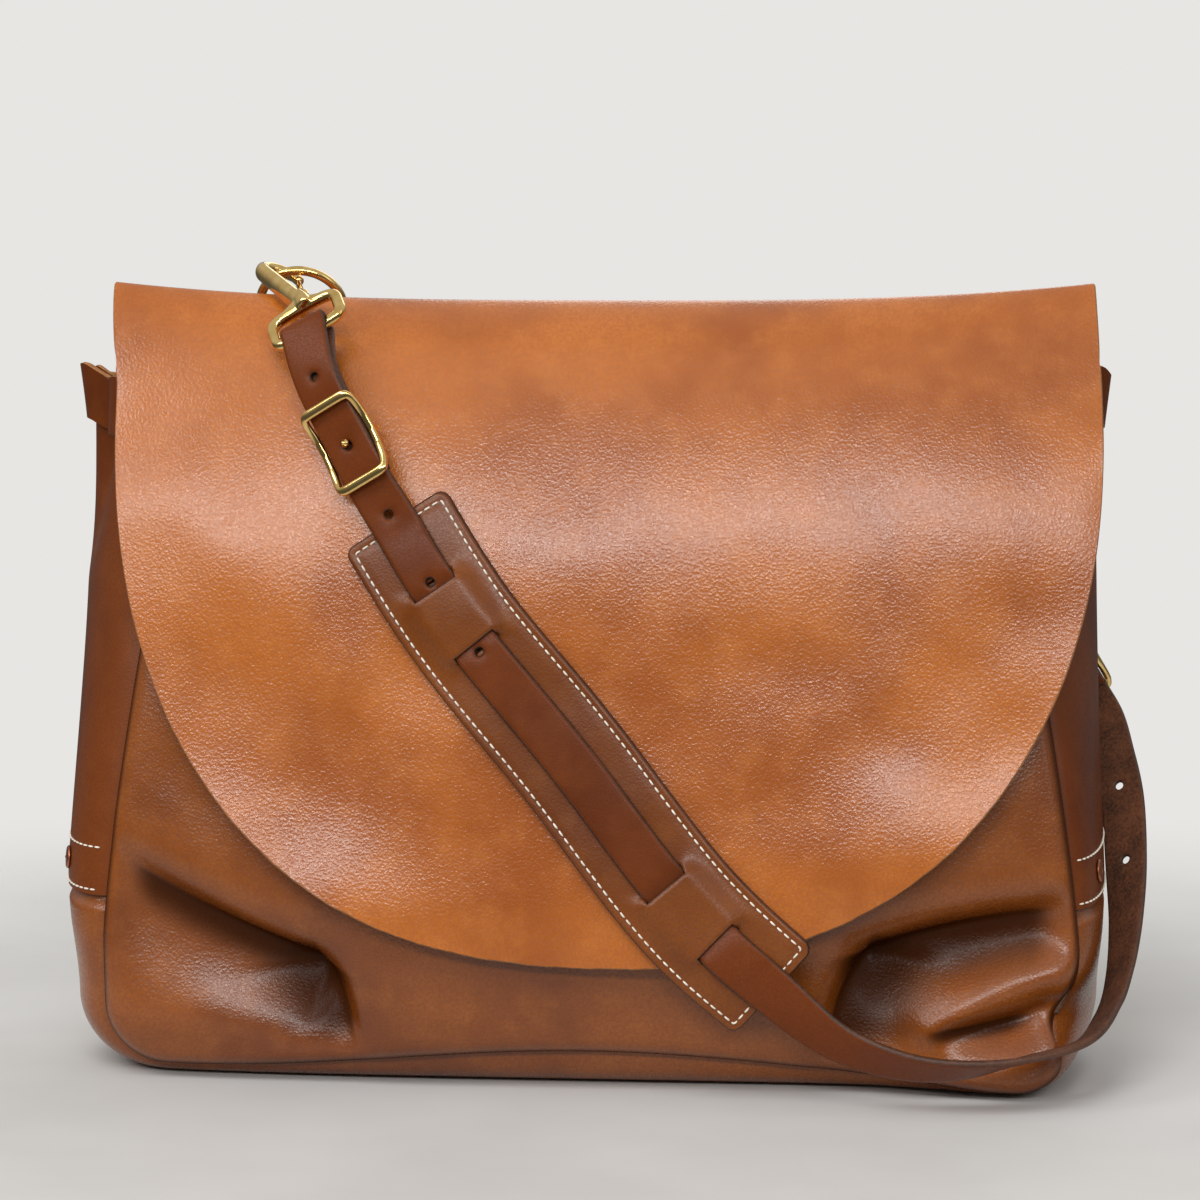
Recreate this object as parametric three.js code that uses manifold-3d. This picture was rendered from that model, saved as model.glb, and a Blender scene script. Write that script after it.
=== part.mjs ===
// Leather messenger bag: a soft hollow body with a big U-shaped flap, a shoulder strap
// folded round two brass snap hooks, and a slotted shoulder pad lying on the flap.
// Millimetres. X to the right seen from the front, Y to the back, Z up.
// The origin is the middle of the flat base.
import * as THREE from 'three';
import { mergeVertices } from 'three/addons/utils/BufferGeometryUtils.js';
import Module from 'manifold-3d';

const wasm = await Module();
wasm.setup();

// Driving dimensions
const HIDE = 2.2;             // thickness of the panel leather
const GAP = 0.3;              // clearance between pieces that touch
const SEAM_ROLL = 7;          // radius of a panel edge where it turns into its seam
const SEAM_TUCK = 2.6;        // width of gusset edge that lies under a panel edge
const SEAM_HEIGHT = 5;        // height of the bottom seams above the floor
const BELLY_LIP = 11;         // extra height of the front bottom seam at mid width
const LIP_REACH = 175;        // half length of that raised seam

const FRONT_HALF = { left: 207, right: 203.5 };  // middle to side seam near the base
const FRONT_LEAN = { left: 33, right: 38 };      // how far each side seam leans in at the mouth
const DRAW_IN = 11;           // the right seam is drawn in this far above its bottom corner
const DRAW_Z = 32;
const DRAW_HIGH = 13;
const SAG = 18;               // the bottom right corner sags this far forward
const SAG_X = 185;
const SAG_WIDE = 50;
const SAG_HIGH = 25;
const SAG_DROP = 3;           // and its seam hangs this much lower
const FRONT_CORNER = 27;      // radius of the front bottom corners
const MOUTH_Z = 286;          // top edge of the front panel
const LEAN_START_Z = 60;      // height where the side seams start to lean in
const FOLDS_TOP_Z = 112;      // above this height the front panel has no folds
const BELLY_FALL = 12;        // how far the belly falls back at the sides
const BELLY_HALF = 200;       // half width at which that fall is measured
const BELLY_CURVE = 2.4;      // exponent of that fall
const LEAN_CURVE = 1.25;      // exponent of the side seams' lean
const FOLD_EASE = 24;         // folds die out this close to a seam

const BACK_HALF = 208;        // back panel and fold half width
const BACK_CORNER = 29;       // radius of the back bottom corners
const BACK_SEAM_TOP = 292;    // height where the gusset leaves the back panel
const BACK_SEAM_FADE = 45;    // height over which that seam's rolled edge flattens out
const FOLD_Z = 296;           // height where the back turns into the top fold
const FOLD_RISE = 32;         // crest of the fold above that height at mid width
const FOLD_EAR = 7.5;         // extra rise of the fold at its two ends
const FOLD_SLOPE = 1.42;      // roundness of the fold towards the front

const FLAP_HALF = 206;        // flap half width on the front
const FLAP_SHIFT = 5.5;       // the flap hangs this far off centre
const FLAP_TURN = { from: 1.5, to: 2.3 };  // where along the hide its edges shift to the flap's
const FLAP_STRAIGHT_Z = 280;  // where its straight sides end
const FLAP_TIP_Z = 56.4;      // lowest point of its round edge
const FLAP_ROUND = 2.3;       // exponent of the round edge, 2 is an ellipse
const FLAP_STANDOFF = 6.5;    // outer face of the flap in front of the belly

const SIDE_BULGE = { left: 24, right: 11.5 };
const LOW_TUCK = { left: 6, right: 3.5 };  // the bulge is this much less near the base
const LOW_TUCK_Z = 90;        // height below which it shrinks
const SIDE_ROUND = 2.3;       // roundness of the bulging sides
const BASE_ROUND = 3;         // roundness of the base strip
const BASE_PRESS = 2;         // the floor presses the base strip flat by this much
const PINCH = { left: 20, right: 12 };  // depth of the inward fold at the top of each side
const PINCH_FROM_Z = 205;     // height where that fold starts
const PINCH_AT = 0.52;        // its place from front to back, as a share of the depth
const PINCH_WIDE = 0.17;
const LOBE_FROM_Z = 240;      // the two lobes beside it rise at the top edge
const LOBE_WIDE = 0.14;
const LOBES = [{ at: 0.22, rise: 6 }, { at: 0.78, rise: 8.4 }];
const LAP_LOW_Z = 78;         // lower edge of the dark side pieces
const LAP_HIGH_Z = 101;       // upper end of the base strip behind them
const LAP_STEP = 0.06;        // share of the side height over which that end comes out
const BAND_HEIGHT = 20;
const BAND_THICK = 3;
const BAND_END = 0.16;        // angle by which a band stops short of the panels
const BAND_RAISED = 0.006;    // share of the side height by which it stands above the edge
const BAND_IN_FOLD = 1.4;     // extra room between band and side inside the fold
const BAND_FOLD_WIDE = 0.5;
const BAND_STRAIGHT = 0.8;    // inside the fold it stands off straight sideways by this share
const BAND_FLARE = 2.6;       // how far a band leans out at its top edge

const STRAP_WIDTH = 19;
const STRAP_THICK = 3;
const STRAP_STEP = 11;        // spacing of the sections along the strap
const HOLE_RADIUS = 2.3;
const PAD_WIDTH = 48;
const PAD_CORNER = 5;
const PAD_STEP = 20;          // spacing of the sections along the pad
const PAD_THICK = 2;
const PAD_LIFT = 0.4;         // underside of the pad above the flap
const SLOT_HALF_WIDTH = 11.2;
const SLOT_HALF_GAP = 4;
const SLOT_TOOL = { above: 3, high: 14 };  // the slot cutter's middle above the pad, and its height
const BULGE_HALF_WIDTH = 20;  // where the raised leather over the strap dies out

const RING_WIRE = 2;          // wire radius of the D-rings
const RING_HALF = 18;         // half width of a ring, at the wire's middle
const RING_LEG = 10;          // straight leg from the bar to the round end
const EYE_WIRE = 2.6;
const EYE_HALF = 15.4;        // half width of the snap's strap loop
const EYE_DEEP = 8;           // half depth of the snap's strap loop
const CHAPE_WIDTH = 28;
const CHAPE_THICK = 1.8;
const CHAPE_LENGTH = 44;
const CHAPE_NECK = 9;         // its flat part ends this far below the ring

// Middle line of the belly: how far it stands forward at each height
const BELLY = [
  { z: 0, forward: 58 },
  { z: 30, forward: 67 },
  { z: 80, forward: 70 },
  { z: 150, forward: 62 },
  { z: 220, forward: 50 },
  { z: 290, forward: 36 },
  { z: 340, forward: 30 },
];

// Middle line of the back
const BACK = [
  { z: 0, behind: 52 },
  { z: 40, behind: 58 },
  { z: 120, behind: 58 },
  { z: 220, behind: 44 },
  { z: 296, behind: 26 },
];

// Folds of the front panel. Each runs from one point to another with a bow, presses the
// leather back by depth, and dies out over the widths above and below its line.
const FOLDS = [
  { x0: -204, z0: 99, x1: -107, z1: 50, bow: 7, depth: 13, above: 15, below: 38, start: 0.15, end: 1 },
  { x0: -107, z0: 50, x1: -99, z1: 12, bow: 2, depth: 15, above: 11, below: 38, start: 1, end: 0.5 },
  { x0: 100, z0: 14, x1: 118, z1: 64, bow: 5, depth: 16, above: 11, below: 38, start: 0.5, end: 1 },
  { x0: 118, z0: 64, x1: 196, z1: 78, bow: 3, depth: 15, above: 13, below: 26, start: 1, end: 0.15 },
  { x0: 146, z0: 28, x1: 198, z1: 39, bow: -2, depth: 8, above: 8, below: 9, start: 0.3, end: 0.5 },
];

// Shoulder pad: its middle line on the flap, and the slots along it from the top end
const PAD_LINE = [
  { x: -80.5, z: 238.4 },
  { x: -63.6, z: 212.3 },
  { x: -45.1, z: 187.2 },
  { x: -6.7, z: 142.1 },
  { x: 31.3, z: 93.7 },
  { x: 53.8, z: 69.4 },
  { x: 77.5, z: 48.4 },
];
const SLOTS = [
  { along: 31, under: 1 },
  { along: 62, under: -1 },
  { along: 185, under: 1 },
  { along: 218, under: -1 },
];

// Strap from the buckle to the pad: height of its middle above the flap, and how far its
// right edge turns out
const UPPER_ROUTE = [
  { x: -114, z: 296.5, lift: 13.8, turn: 0.3 },
  { x: -100.2, z: 270.6, lift: 13.6, turn: 0.28 },
  { x: -91.5, z: 255.4, lift: 12.6, turn: 0.24 },
];

// Strap from the pad round the right side to the back, with the direction of its upper edge
const FREE_ROUTE = [
  { x: 101, y: -84, z: 29.5, ex: 0.35, ey: -0.5, ez: 0.8 },
  { x: 128, y: -88.5, z: 20, ex: 0.1, ey: -0.72, ez: 0.68 },
  { x: 154, y: -88.5, z: 18, ex: 0.05, ey: -0.85, ez: 0.5 },
  { x: 181, y: -82, z: 21.5, ex: 0.08, ey: -0.97, ez: 0.22 },
  { x: 204.5, y: -65, z: 25.5, ex: 0.08, ey: -0.97, ez: 0.2 },
  { x: 216, y: -42, z: 34, ex: 0.18, ey: -0.96, ez: 0.18 },
  { x: 222, y: -23, z: 46.5, ex: 0.34, ey: -0.92, ez: 0.18 },
  { x: 225.3, y: -4, z: 64.5, ex: 0.55, ey: -0.82, ez: 0.15 },
  { x: 226, y: 12, z: 86, ex: 0.8, ey: -0.58, ez: 0.15 },
  { x: 225.2, y: 31, z: 110, ex: 0.87, ey: -0.4, ez: 0.25 },
  { x: 221, y: 48, z: 129, ex: 0.92, ey: -0.15, ez: 0.35 },
  { x: 217.5, y: 61.5, z: 141.5, ex: 0.9, ey: -0.05, ez: 0.45 },
  { x: 211, y: 68.3, z: 152.5, ex: 0.87, ey: 0, ez: 0.5 },
  { x: 203, y: 67.2, z: 166, ex: 0.87, ey: 0, ez: 0.5 },
  { x: 188.5, y: 63.3, z: 191, ex: 0.87, ey: 0, ez: 0.5 },
  { x: 174, y: 59.8, z: 217, ex: 0.87, ey: 0, ez: 0.5 },
];
// Spare holes punched along the strap
const SPARE_HOLES = [
  { x: -114, y: -47.5, z: 298, depth: 5 },
  { x: -83.5, y: -62.5, z: 242.5, depth: 9 },
  { x: 222.4, y: 36, z: 116, depth: 9 },
  { x: 225.8, y: 13.5, z: 88, depth: 9 },
];
const LEFT_BUCKLE_ROW = 1;    // row of UPPER_ROUTE that holds the front buckle
const RIGHT_BUCKLE_ROW = 13;  // row of FREE_ROUTE that holds the back buckle

const LEATHER = { color: 0xb0662f, roughness: 0.5, metalness: 0 };
const DARK_HIDE = { color: 0x8a4a24, roughness: 0.5, metalness: 0 };
const STRAP_HIDE = { color: 0x6b3a22, roughness: 0.5, metalness: 0 };
const PAD_HIDE = { color: 0x8f5222, roughness: 0.5, metalness: 0 };
const BRASS = { color: 0xc9a24a, roughness: 0.2, metalness: 1 };
const COPPER = { color: 0x9a5a3c, roughness: 0.35, metalness: 1 };

// Small maths helpers
const { clamp, lerp, smoothstep } = THREE.MathUtils;
const vec = (x, y, z) => new THREE.Vector3(x, y, z);
const steps = (count, from = 0, to = 1) =>
  Array.from({ length: count + 1 }, (_, i) => lerp(from, to, i / count));
const bump = (offset, width) => Math.exp(-((offset / width) ** 2));
const power = (value, exponent) => Math.sign(value) * Math.abs(value) ** exponent;

// Smooth curve through the rows of a table, one column as a function of another
function curve(rows, key, column) {
  const last = rows.length - 1;
  const slopes = rows.map((_, i) => {
    const before = rows[Math.max(i - 1, 0)];
    const after = rows[Math.min(i + 1, last)];
    return (after[column] - before[column]) / (after[key] - before[key]);
  });
  return (at) => {
    const t = clamp(at, rows[0][key], rows[last][key]);
    const i = clamp(rows.findIndex((row) => row[key] > t) - 1, 0, last - 1);
    const from = t === rows[last][key] ? last - 1 : i;
    const span = rows[from + 1][key] - rows[from][key];
    const s = (t - rows[from][key]) / span;
    const bend = s * s * (3 - 2 * s);
    return rows[from][column] * (1 - bend) + rows[from + 1][column] * bend
      + span * s * (1 - s) * (slopes[from] * (1 - s) - slopes[from + 1] * s);
  };
}

// Point on the smooth curve through a list of vectors, t from 0 to 1 over all of them
function through(points, t) {
  const last = points.length - 1;
  const i = Math.min(Math.floor(t * last), last - 1);
  const s = t * last - i;
  const [a, b, c, d] = [i - 1, i, i + 1, i + 2].map((k) => points[clamp(k, 0, last)]);
  const out = b.clone().multiplyScalar(2);
  out.addScaledVector(c.clone().sub(a), s);
  const second = a.clone().multiplyScalar(2).addScaledVector(b, -5).addScaledVector(c, 4).sub(d);
  const third = d.clone().sub(a).addScaledVector(b, 3).addScaledVector(c, -3);
  return out.addScaledVector(second, s * s).addScaledVector(third, s ** 3).multiplyScalar(0.5);
}

// Solid helpers
const isInsideOut = (positions, index) => {
  const [a, b, c] = [vec(), vec(), vec()];
  let volume = 0;
  for (let i = 0; i < index.length; i += 3) {
    a.fromArray(positions, 3 * index[i]);
    b.fromArray(positions, 3 * index[i + 1]);
    c.fromArray(positions, 3 * index[i + 2]);
    volume += a.dot(b.cross(c));
  }
  return volume < 0;
};

function solidGeometry(points, triangles) {
  const positions = points.flatMap((p) => [p.x, p.y, p.z]);
  if (isInsideOut(positions, triangles)) triangles.reverse();
  const geometry = new THREE.BufferGeometry();
  geometry.setAttribute('position', new THREE.Float32BufferAttribute(positions, 3));
  geometry.setIndex(triangles);
  return geometry;
}

// Closed wall between two grids of points, outer[i][j] and inner[i][j]
function wall(outer, inner) {
  const rows = outer.length;
  const columns = outer[0].length;
  const points = [...outer.flat(), ...inner.flat()];
  const at = (side, i, j) => side * rows * columns + i * columns + j;
  const triangles = [];
  const quad = (a, b, c, d) => triangles.push(a, b, c, a, c, d);
  for (let i = 0; i < rows - 1; i += 1) {
    for (let j = 0; j < columns - 1; j += 1) {
      quad(at(0, i, j), at(0, i + 1, j), at(0, i + 1, j + 1), at(0, i, j + 1));
      quad(at(1, i, j), at(1, i, j + 1), at(1, i + 1, j + 1), at(1, i + 1, j));
    }
    quad(at(0, i + 1, 0), at(0, i, 0), at(1, i, 0), at(1, i + 1, 0));
    quad(at(0, i, columns - 1), at(0, i + 1, columns - 1), at(1, i + 1, columns - 1), at(1, i, columns - 1));
  }
  for (let j = 0; j < columns - 1; j += 1) {
    quad(at(0, 0, j), at(0, 0, j + 1), at(1, 0, j + 1), at(1, 0, j));
    quad(at(0, rows - 1, j + 1), at(0, rows - 1, j), at(1, rows - 1, j), at(1, rows - 1, j + 1));
  }
  return solidGeometry(points, triangles);
}

// Unit normal of a surface point(u, v), from small steps along both parameters
function normalOf(point, u, v, du, dv) {
  const alongU = point(u + du, v).sub(point(u - du, v));
  const alongV = point(u, v + dv).sub(point(u, v - dv));
  return alongU.cross(alongV).normalize();
}

// Round bar swept along points; up is the direction of its second radius
function bar(points, up, wide, high, { closed = false, sides = 8 } = {}) {
  const count = points.length;
  const radius = (value, i) => (Array.isArray(value) ? value[i] : value);
  const rings = points.map((point, i) => {
    const before = points[closed ? (i + count - 1) % count : Math.max(i - 1, 0)];
    const after = points[closed ? (i + 1) % count : Math.min(i + 1, count - 1)];
    const tangent = after.clone().sub(before).normalize();
    const side = tangent.clone().cross(up).normalize();
    const top = side.clone().cross(tangent);
    return steps(sides - 1, 0, (2 * Math.PI * (sides - 1)) / sides).map((angle) => point.clone()
      .addScaledVector(side, radius(wide, i) * Math.cos(angle))
      .addScaledVector(top, radius(high, i) * Math.sin(angle)));
  });
  const vertices = rings.flat();
  const triangles = [];
  for (let i = 0; i < (closed ? count : count - 1); i += 1) {
    for (let k = 0; k < sides; k += 1) {
      const [a, b] = [i * sides + k, i * sides + ((k + 1) % sides)];
      const [c, d] = [((i + 1) % count) * sides + k, ((i + 1) % count) * sides + ((k + 1) % sides)];
      triangles.push(a, b, d, a, d, c);
    }
  }
  if (!closed) {
    const first = vertices.push(points[0].clone()) - 1;
    const final = vertices.push(points[count - 1].clone()) - 1;
    for (let k = 0; k < sides; k += 1) {
      const next = (k + 1) % sides;
      triangles.push(first, next, k);
      triangles.push(final, (count - 1) * sides + k, (count - 1) * sides + next);
    }
  }
  return solidGeometry(vertices, triangles);
}

// Boolean helpers
function toManifold(geometry) {
  const plain = geometry.clone();
  plain.deleteAttribute('normal');
  plain.deleteAttribute('uv');
  const merged = mergeVertices(plain, 1e-4);
  return new wasm.Manifold(new wasm.Mesh({
    numProp: 3,
    vertProperties: new Float32Array(merged.attributes.position.array),
    triVerts: new Uint32Array(merged.index.array),
  }));
}

function fromManifold(solid) {
  const mesh = solid.getMesh();
  const geometry = new THREE.BufferGeometry();
  geometry.setAttribute('position', new THREE.Float32BufferAttribute(mesh.vertProperties, 3));
  geometry.setIndex(Array.from(mesh.triVerts));
  return geometry;
}

const joined = (...pieces) => fromManifold(pieces.map(toManifold).reduce((whole, piece) => whole.add(piece)));
const cut = (body, ...tools) =>
  fromManifold(tools.map(toManifold).reduce((left, tool) => left.subtract(tool), toManifold(body)));

// A standard geometry put at a point with its own axes along three directions
function placed(geometry, origin, xAxis, yAxis, zAxis) {
  const basis = new THREE.Matrix4().makeBasis(xAxis, yAxis, zAxis).setPosition(origin);
  return geometry.applyMatrix4(basis);
}

// Round peg through a point along an axis
function peg(origin, axis, radius, length, sides = 10) {
  const helper = Math.abs(axis.z) < 0.9 ? vec(0, 0, 1) : vec(1, 0, 0);
  const side = helper.cross(axis).normalize();
  const other = axis.clone().cross(side);
  return placed(new THREE.CylinderGeometry(radius, radius, length, sides), origin, other, axis, side);
}

// Shape of the body
const bellyForward = curve(BELLY, 'z', 'forward');
const backBehind = curve(BACK, 'z', 'behind');
const belly = (x, z) => -bellyForward(z) + BELLY_FALL * (Math.abs(x) / BELLY_HALF) ** BELLY_CURVE
  - SAG * bump(x - SAG_X, SAG_WIDE) * bump(z, SAG_HIGH);
const flapFace = (x, z) => belly(x, z) - FLAP_STANDOFF;

// Height of the front bottom seam over its usual height
const lipLift = (x) => -SAG_DROP * bump(x - SAG_X, SAG_WIDE)
  + (Math.abs(x) < LIP_REACH ? BELLY_LIP * 0.5 * (1 + Math.cos((Math.PI * x) / LIP_REACH)) : 0);

const sideOf = (x) => (x < 0 ? 'left' : 'right');
const drawIn = (z, side) => (side === 'right' ? DRAW_IN * bump(z - DRAW_Z, DRAW_HIGH) : 0);

// Distance of a front side seam from the middle, without the bottom corner
const frontLine = (z, side) => {
  const up = Math.max(0, (z - LEAN_START_Z) / (MOUTH_Z - LEAN_START_Z));
  return FRONT_HALF[side] - FRONT_LEAN[side] * up ** LEAN_CURVE - drawIn(z, side);
};

// Distance from a point of a panel to its sewn outline with round bottom corners
function seamDistance(x, z, half, corner, bottom) {
  const across = Math.abs(x) - (half - corner);
  const down = bottom + corner - z;
  if (across > 0 && down > 0) return corner - Math.hypot(across, down);
  return Math.min(half - Math.abs(x), z - bottom);
}

// How far a panel turns back at a given distance from its seam
const seamTurn = (distance) => {
  const t = clamp(1 - distance / SEAM_ROLL, 0, 1);
  return SEAM_ROLL * (1 - Math.sqrt(1 - t * t));
};

// Depth of one fold of the front panel at a point
function foldDepth(fold, x, z) {
  const [dx, dz] = [fold.x1 - fold.x0, fold.z1 - fold.z0];
  const length = Math.hypot(dx, dz);
  const along = ((x - fold.x0) * dx + (z - fold.z0) * dz) / length ** 2;
  const t = clamp(along, 0, 1);
  const bowed = fold.bow * 4 * t * (1 - t);
  const side = Math.sign(dx) * ((z - fold.z0) * dx - (x - fold.x0) * dz) / length - bowed;
  const past = Math.max(0, -along, along - 1) * length;
  const fade = bump(past, fold.above);
  return fold.depth * lerp(fold.start, fold.end, t) * fade * bump(side, side > 0 ? fold.above : fold.below);
}

const sewnDistance = (x, z) =>
  seamDistance(x, z - lipLift(x), frontLine(z, sideOf(x)), FRONT_CORNER, SEAM_HEIGHT);

function frontFace(x, z) {
  const distance = sewnDistance(x, z);
  const pressed = Math.max(...FOLDS.map((fold) => foldDepth(fold, x, z)));
  const easing = clamp(distance / FOLD_EASE, 0, 1);
  return belly(x, z) + pressed * easing + seamTurn(Math.max(distance, 0));
}

function frontPanel() {
  const columns = steps(22, -1, 1).map((s) => Math.sin((s * Math.PI) / 2));
  const folded = (FOLDS_TOP_Z - SEAM_HEIGHT) / (MOUTH_Z - SEAM_HEIGHT);
  const rows = [...steps(10).map((s) => folded * s ** 1.3).slice(0, -1), ...steps(4, folded, 1)];
  const half = (z, side) => {
    const down = clamp((SEAM_HEIGHT + FRONT_CORNER - z) / FRONT_CORNER, 0, 1);
    return frontLine(z, side) - FRONT_CORNER + FRONT_CORNER * Math.sqrt(1 - down * down);
  };
  const nudge = 0.4;
  const outer = rows.map((row) => columns.map((column) => {
    const height = lerp(SEAM_HEIGHT, MOUTH_Z, row);
    const x = column * half(height, sideOf(column));
    const z = height + lipLift(x) * (1 - row) ** 2;
    return vec(x, frontFace(x, z), z);
  }));
  const inner = outer.map((line) => line.map((p) => {
    const slopeX = (frontFace(p.x + nudge, p.z) - frontFace(p.x - nudge, p.z)) / (2 * nudge);
    const slopeZ = (frontFace(p.x, p.z + nudge) - frontFace(p.x, p.z - nudge)) / (2 * nudge);
    const inside = p.clone().addScaledVector(vec(-slopeX, 1, -slopeZ).normalize(), HIDE);
    if (sewnDistance(p.x, p.z) < SEAM_ROLL / 2) inside.y = Math.min(inside.y, belly(p.x, p.z) + SEAM_ROLL);
    return inside;
  }));
  return wall(outer, inner);
}

// Back, top fold and flap: one sheet. Along it, 0 to 1 climbs the back, 1 to 2 goes over
// the fold and 2 to 3 comes down the front.
const foldRise = (x) => FOLD_RISE + FOLD_EAR * (Math.abs(x) / BACK_HALF) ** 3;

function hidePoint(u, t) {
  const onFront = smoothstep(t, FLAP_TURN.from, FLAP_TURN.to);
  const x = lerp(BACK_HALF * u, FLAP_SHIFT + FLAP_HALF * u, onFront);
  if (t <= 1) {
    const z = FOLD_Z * t;
    const sewn = seamDistance(x, z, BACK_HALF, BACK_CORNER, SEAM_HEIGHT);
    const free = smoothstep(z, BACK_SEAM_TOP - BACK_SEAM_FADE, FOLD_Z);
    return vec(x, backBehind(z) - seamTurn(Math.max(sewn, 0)) * (1 - free), z);
  }
  if (t >= 2) {
    const z = FOLD_Z * (3 - t);
    return vec(x, flapFace(x, z), z);
  }
  const angle = Math.PI * (t - 1);
  const rise = foldRise(x);
  if (angle <= Math.PI / 2) {
    return vec(x, backBehind(FOLD_Z) * Math.cos(angle), FOLD_Z + rise * Math.sin(angle));
  }
  const y = flapFace(x, FOLD_Z) * power(-Math.cos(angle), 2 / FOLD_SLOPE);
  return vec(x, y, FOLD_Z + rise * power(Math.sin(angle), 2 / FOLD_SLOPE));
}

function backFlap() {
  const columns = steps(18, -1, 1).map((s) => Math.sin((s * Math.PI) / 2));
  const grid = columns.map((u) => {
    const across = Math.max(0, Math.abs(u) * BACK_HALF - (BACK_HALF - BACK_CORNER));
    const low = SEAM_HEIGHT + BACK_CORNER - Math.sqrt(Math.max(0, BACK_CORNER ** 2 - across ** 2));
    const drop = (1 - Math.abs(u) ** FLAP_ROUND) ** (1 / FLAP_ROUND);
    const tip = FLAP_STRAIGHT_Z - (FLAP_STRAIGHT_Z - FLAP_TIP_Z) * drop;
    return [
      ...steps(5, low / FOLD_Z, 1).slice(0, -1).map((t) => [u, t]),
      ...steps(8, 1, 2).slice(0, -1).map((t) => [u, t]),
      ...steps(6, 2, 3 - tip / FOLD_Z).map((t) => [u, t]),
    ];
  });
  const outer = grid.map((line) => line.map(([u, t]) => hidePoint(u, t)));
  const inner = grid.map((line) => line.map(([u, t]) => {
    const p = hidePoint(u, t);
    const inside = p.clone().addScaledVector(normalOf(hidePoint, u, t, 0.002, 0.004), HIDE);
    const sewn = seamDistance(p.x, p.z, BACK_HALF, BACK_CORNER, SEAM_HEIGHT);
    if (t < 1 && sewn < SEAM_ROLL / 2) inside.y = Math.max(inside.y, backBehind(p.z) - SEAM_ROLL);
    return inside;
  }));
  return wall(outer, inner);
}

// Gusset: stretches 0 to 1 down the left side, 1 to 2 round the corner, 2 to 3 along the
// base, 3 to 4 round the other corner and 4 to 5 up the right side.
function seamAt(p, line, corner, top, lip) {
  const side = p < 2.5 ? 'left' : 'right';
  const sign = side === 'left' ? -1 : 1;
  const q = side === 'left' ? p : 5 - p;
  const foot = SEAM_HEIGHT + corner;
  if (q <= 1) {
    const z = lerp(top, foot, q);
    return { x: sign * line(z, side), z, nx: sign, nz: 0, turn: 0 };
  }
  if (q <= 2) {
    const angle = (q - 1) * (Math.PI / 2);
    const [out, down] = [Math.cos(angle), Math.sin(angle)];
    const z = foot - corner * down;
    const x = sign * (line(z, side) - corner + corner * out);
    return { x, z: z + lip * lipLift(x) * down, nx: sign * out, nz: -down, turn: q - 1 };
  }
  const ends = ['left', 'right'].map((end) => line(SEAM_HEIGHT, end) - corner);
  const x = lerp(-ends[0], ends[1], p - 2);
  return { x, z: SEAM_HEIGHT + lip * lipLift(x), nx: 0, nz: -1, turn: 1 };
}

function gussetPoint(p, angle) {
  const front = seamAt(p, frontLine, FRONT_CORNER, MOUTH_Z, 1);
  const back = seamAt(p, () => BACK_HALF, BACK_CORNER, BACK_SEAM_TOP, 0);
  const round = lerp(SIDE_ROUND, BASE_ROUND, front.turn);
  const w = 0.5 - 0.5 * power(Math.cos(angle), 2 / round);
  const frontY = belly(front.x, front.z) + SEAM_ROLL + 2 * GAP;
  const backY = backBehind(back.z) - SEAM_ROLL - 2 * GAP;
  const z = lerp(front.z, back.z, w);
  const end = sideOf(p - 2.5);
  const drawn = drawIn(front.z, end);
  const lowness = 1 - smoothstep(z, SEAM_HEIGHT + FRONT_CORNER, LOW_TUCK_Z);
  const sideOut = SIDE_BULGE[end] - LOW_TUCK[end] * lowness;
  const baseOut = SEAM_HEIGHT + BASE_PRESS + lipLift(front.x) * (1 - w);
  const bulge = lerp(sideOut, baseOut, smoothstep(front.turn, 0, 1));
  const pinch = PINCH[end] * smoothstep(z, PINCH_FROM_Z, MOUTH_Z) * (1 - front.turn)
    * bump(w - PINCH_AT, PINCH_WIDE);
  const out = -SEAM_TUCK + (bulge + SEAM_TUCK) * power(Math.sin(angle), 2 / round) - pinch;
  const lobes = smoothstep(z, LOBE_FROM_Z, MOUTH_Z)
    * LOBES.reduce((sum, lobe) => sum + lobe.rise * bump(w - lobe.at, LOBE_WIDE), 0);
  return vec(
    lerp(front.x, back.x, w) + front.nx * (out + drawn * ((1 - w) - (1 - w) ** 4)),
    lerp(frontY, backY, w),
    Math.max(0, z + front.nz * out + lobes),
  );
}

// Point of the gusset moved inwards (or outwards) along its normal, never below the floor
function gussetInside(p, angle, depth) {
  const normal = normalOf(gussetPoint, p, clamp(angle, 0.02, Math.PI - 0.02), 0.01, 0.015);
  const point = gussetPoint(p, angle).addScaledVector(normal, depth);
  point.z = Math.max(point.z, 0);
  return point;
}

const gussetAngles = (count) => steps(count, 0, Math.PI);
const sideStretch = (z) => (MOUTH_Z - z) / (MOUTH_Z - SEAM_HEIGHT - FRONT_CORNER);

function gussetWall(ps, angles, depthAt, thickness) {
  const outer = ps.map((p) => angles.map((angle) => gussetInside(p, angle, depthAt(p))));
  const inner = ps.map((p) => angles.map((angle) => gussetInside(p, angle, depthAt(p) + thickness)));
  return wall(outer, inner);
}

function gussetBase() {
  const from = sideStretch(LAP_HIGH_Z);
  const lap = sideStretch(LAP_LOW_Z) + 0.1 * LAP_STEP;
  const left = [...steps(4, from, 1).slice(0, -1), ...steps(5, 1, 2).slice(0, -1)];
  const ps = [...left, ...steps(6, 2, 3), ...left.map((p) => 5 - p).reverse()];
  const tuck = (p) => {
    const q = Math.min(p, 5 - p);
    return (HIDE + 4 * GAP) * (1 - smoothstep(q, lap, lap + LAP_STEP));
  };
  return gussetWall(ps, gussetAngles(8), tuck, HIDE);
}

function gussetSide(side) {
  const ps = steps(7, 0, sideStretch(LAP_LOW_Z));
  const stretch = side === 'left' ? ps : ps.map((p) => 5 - p);
  return gussetWall(stretch, gussetAngles(12), () => 0, HIDE);
}

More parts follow.
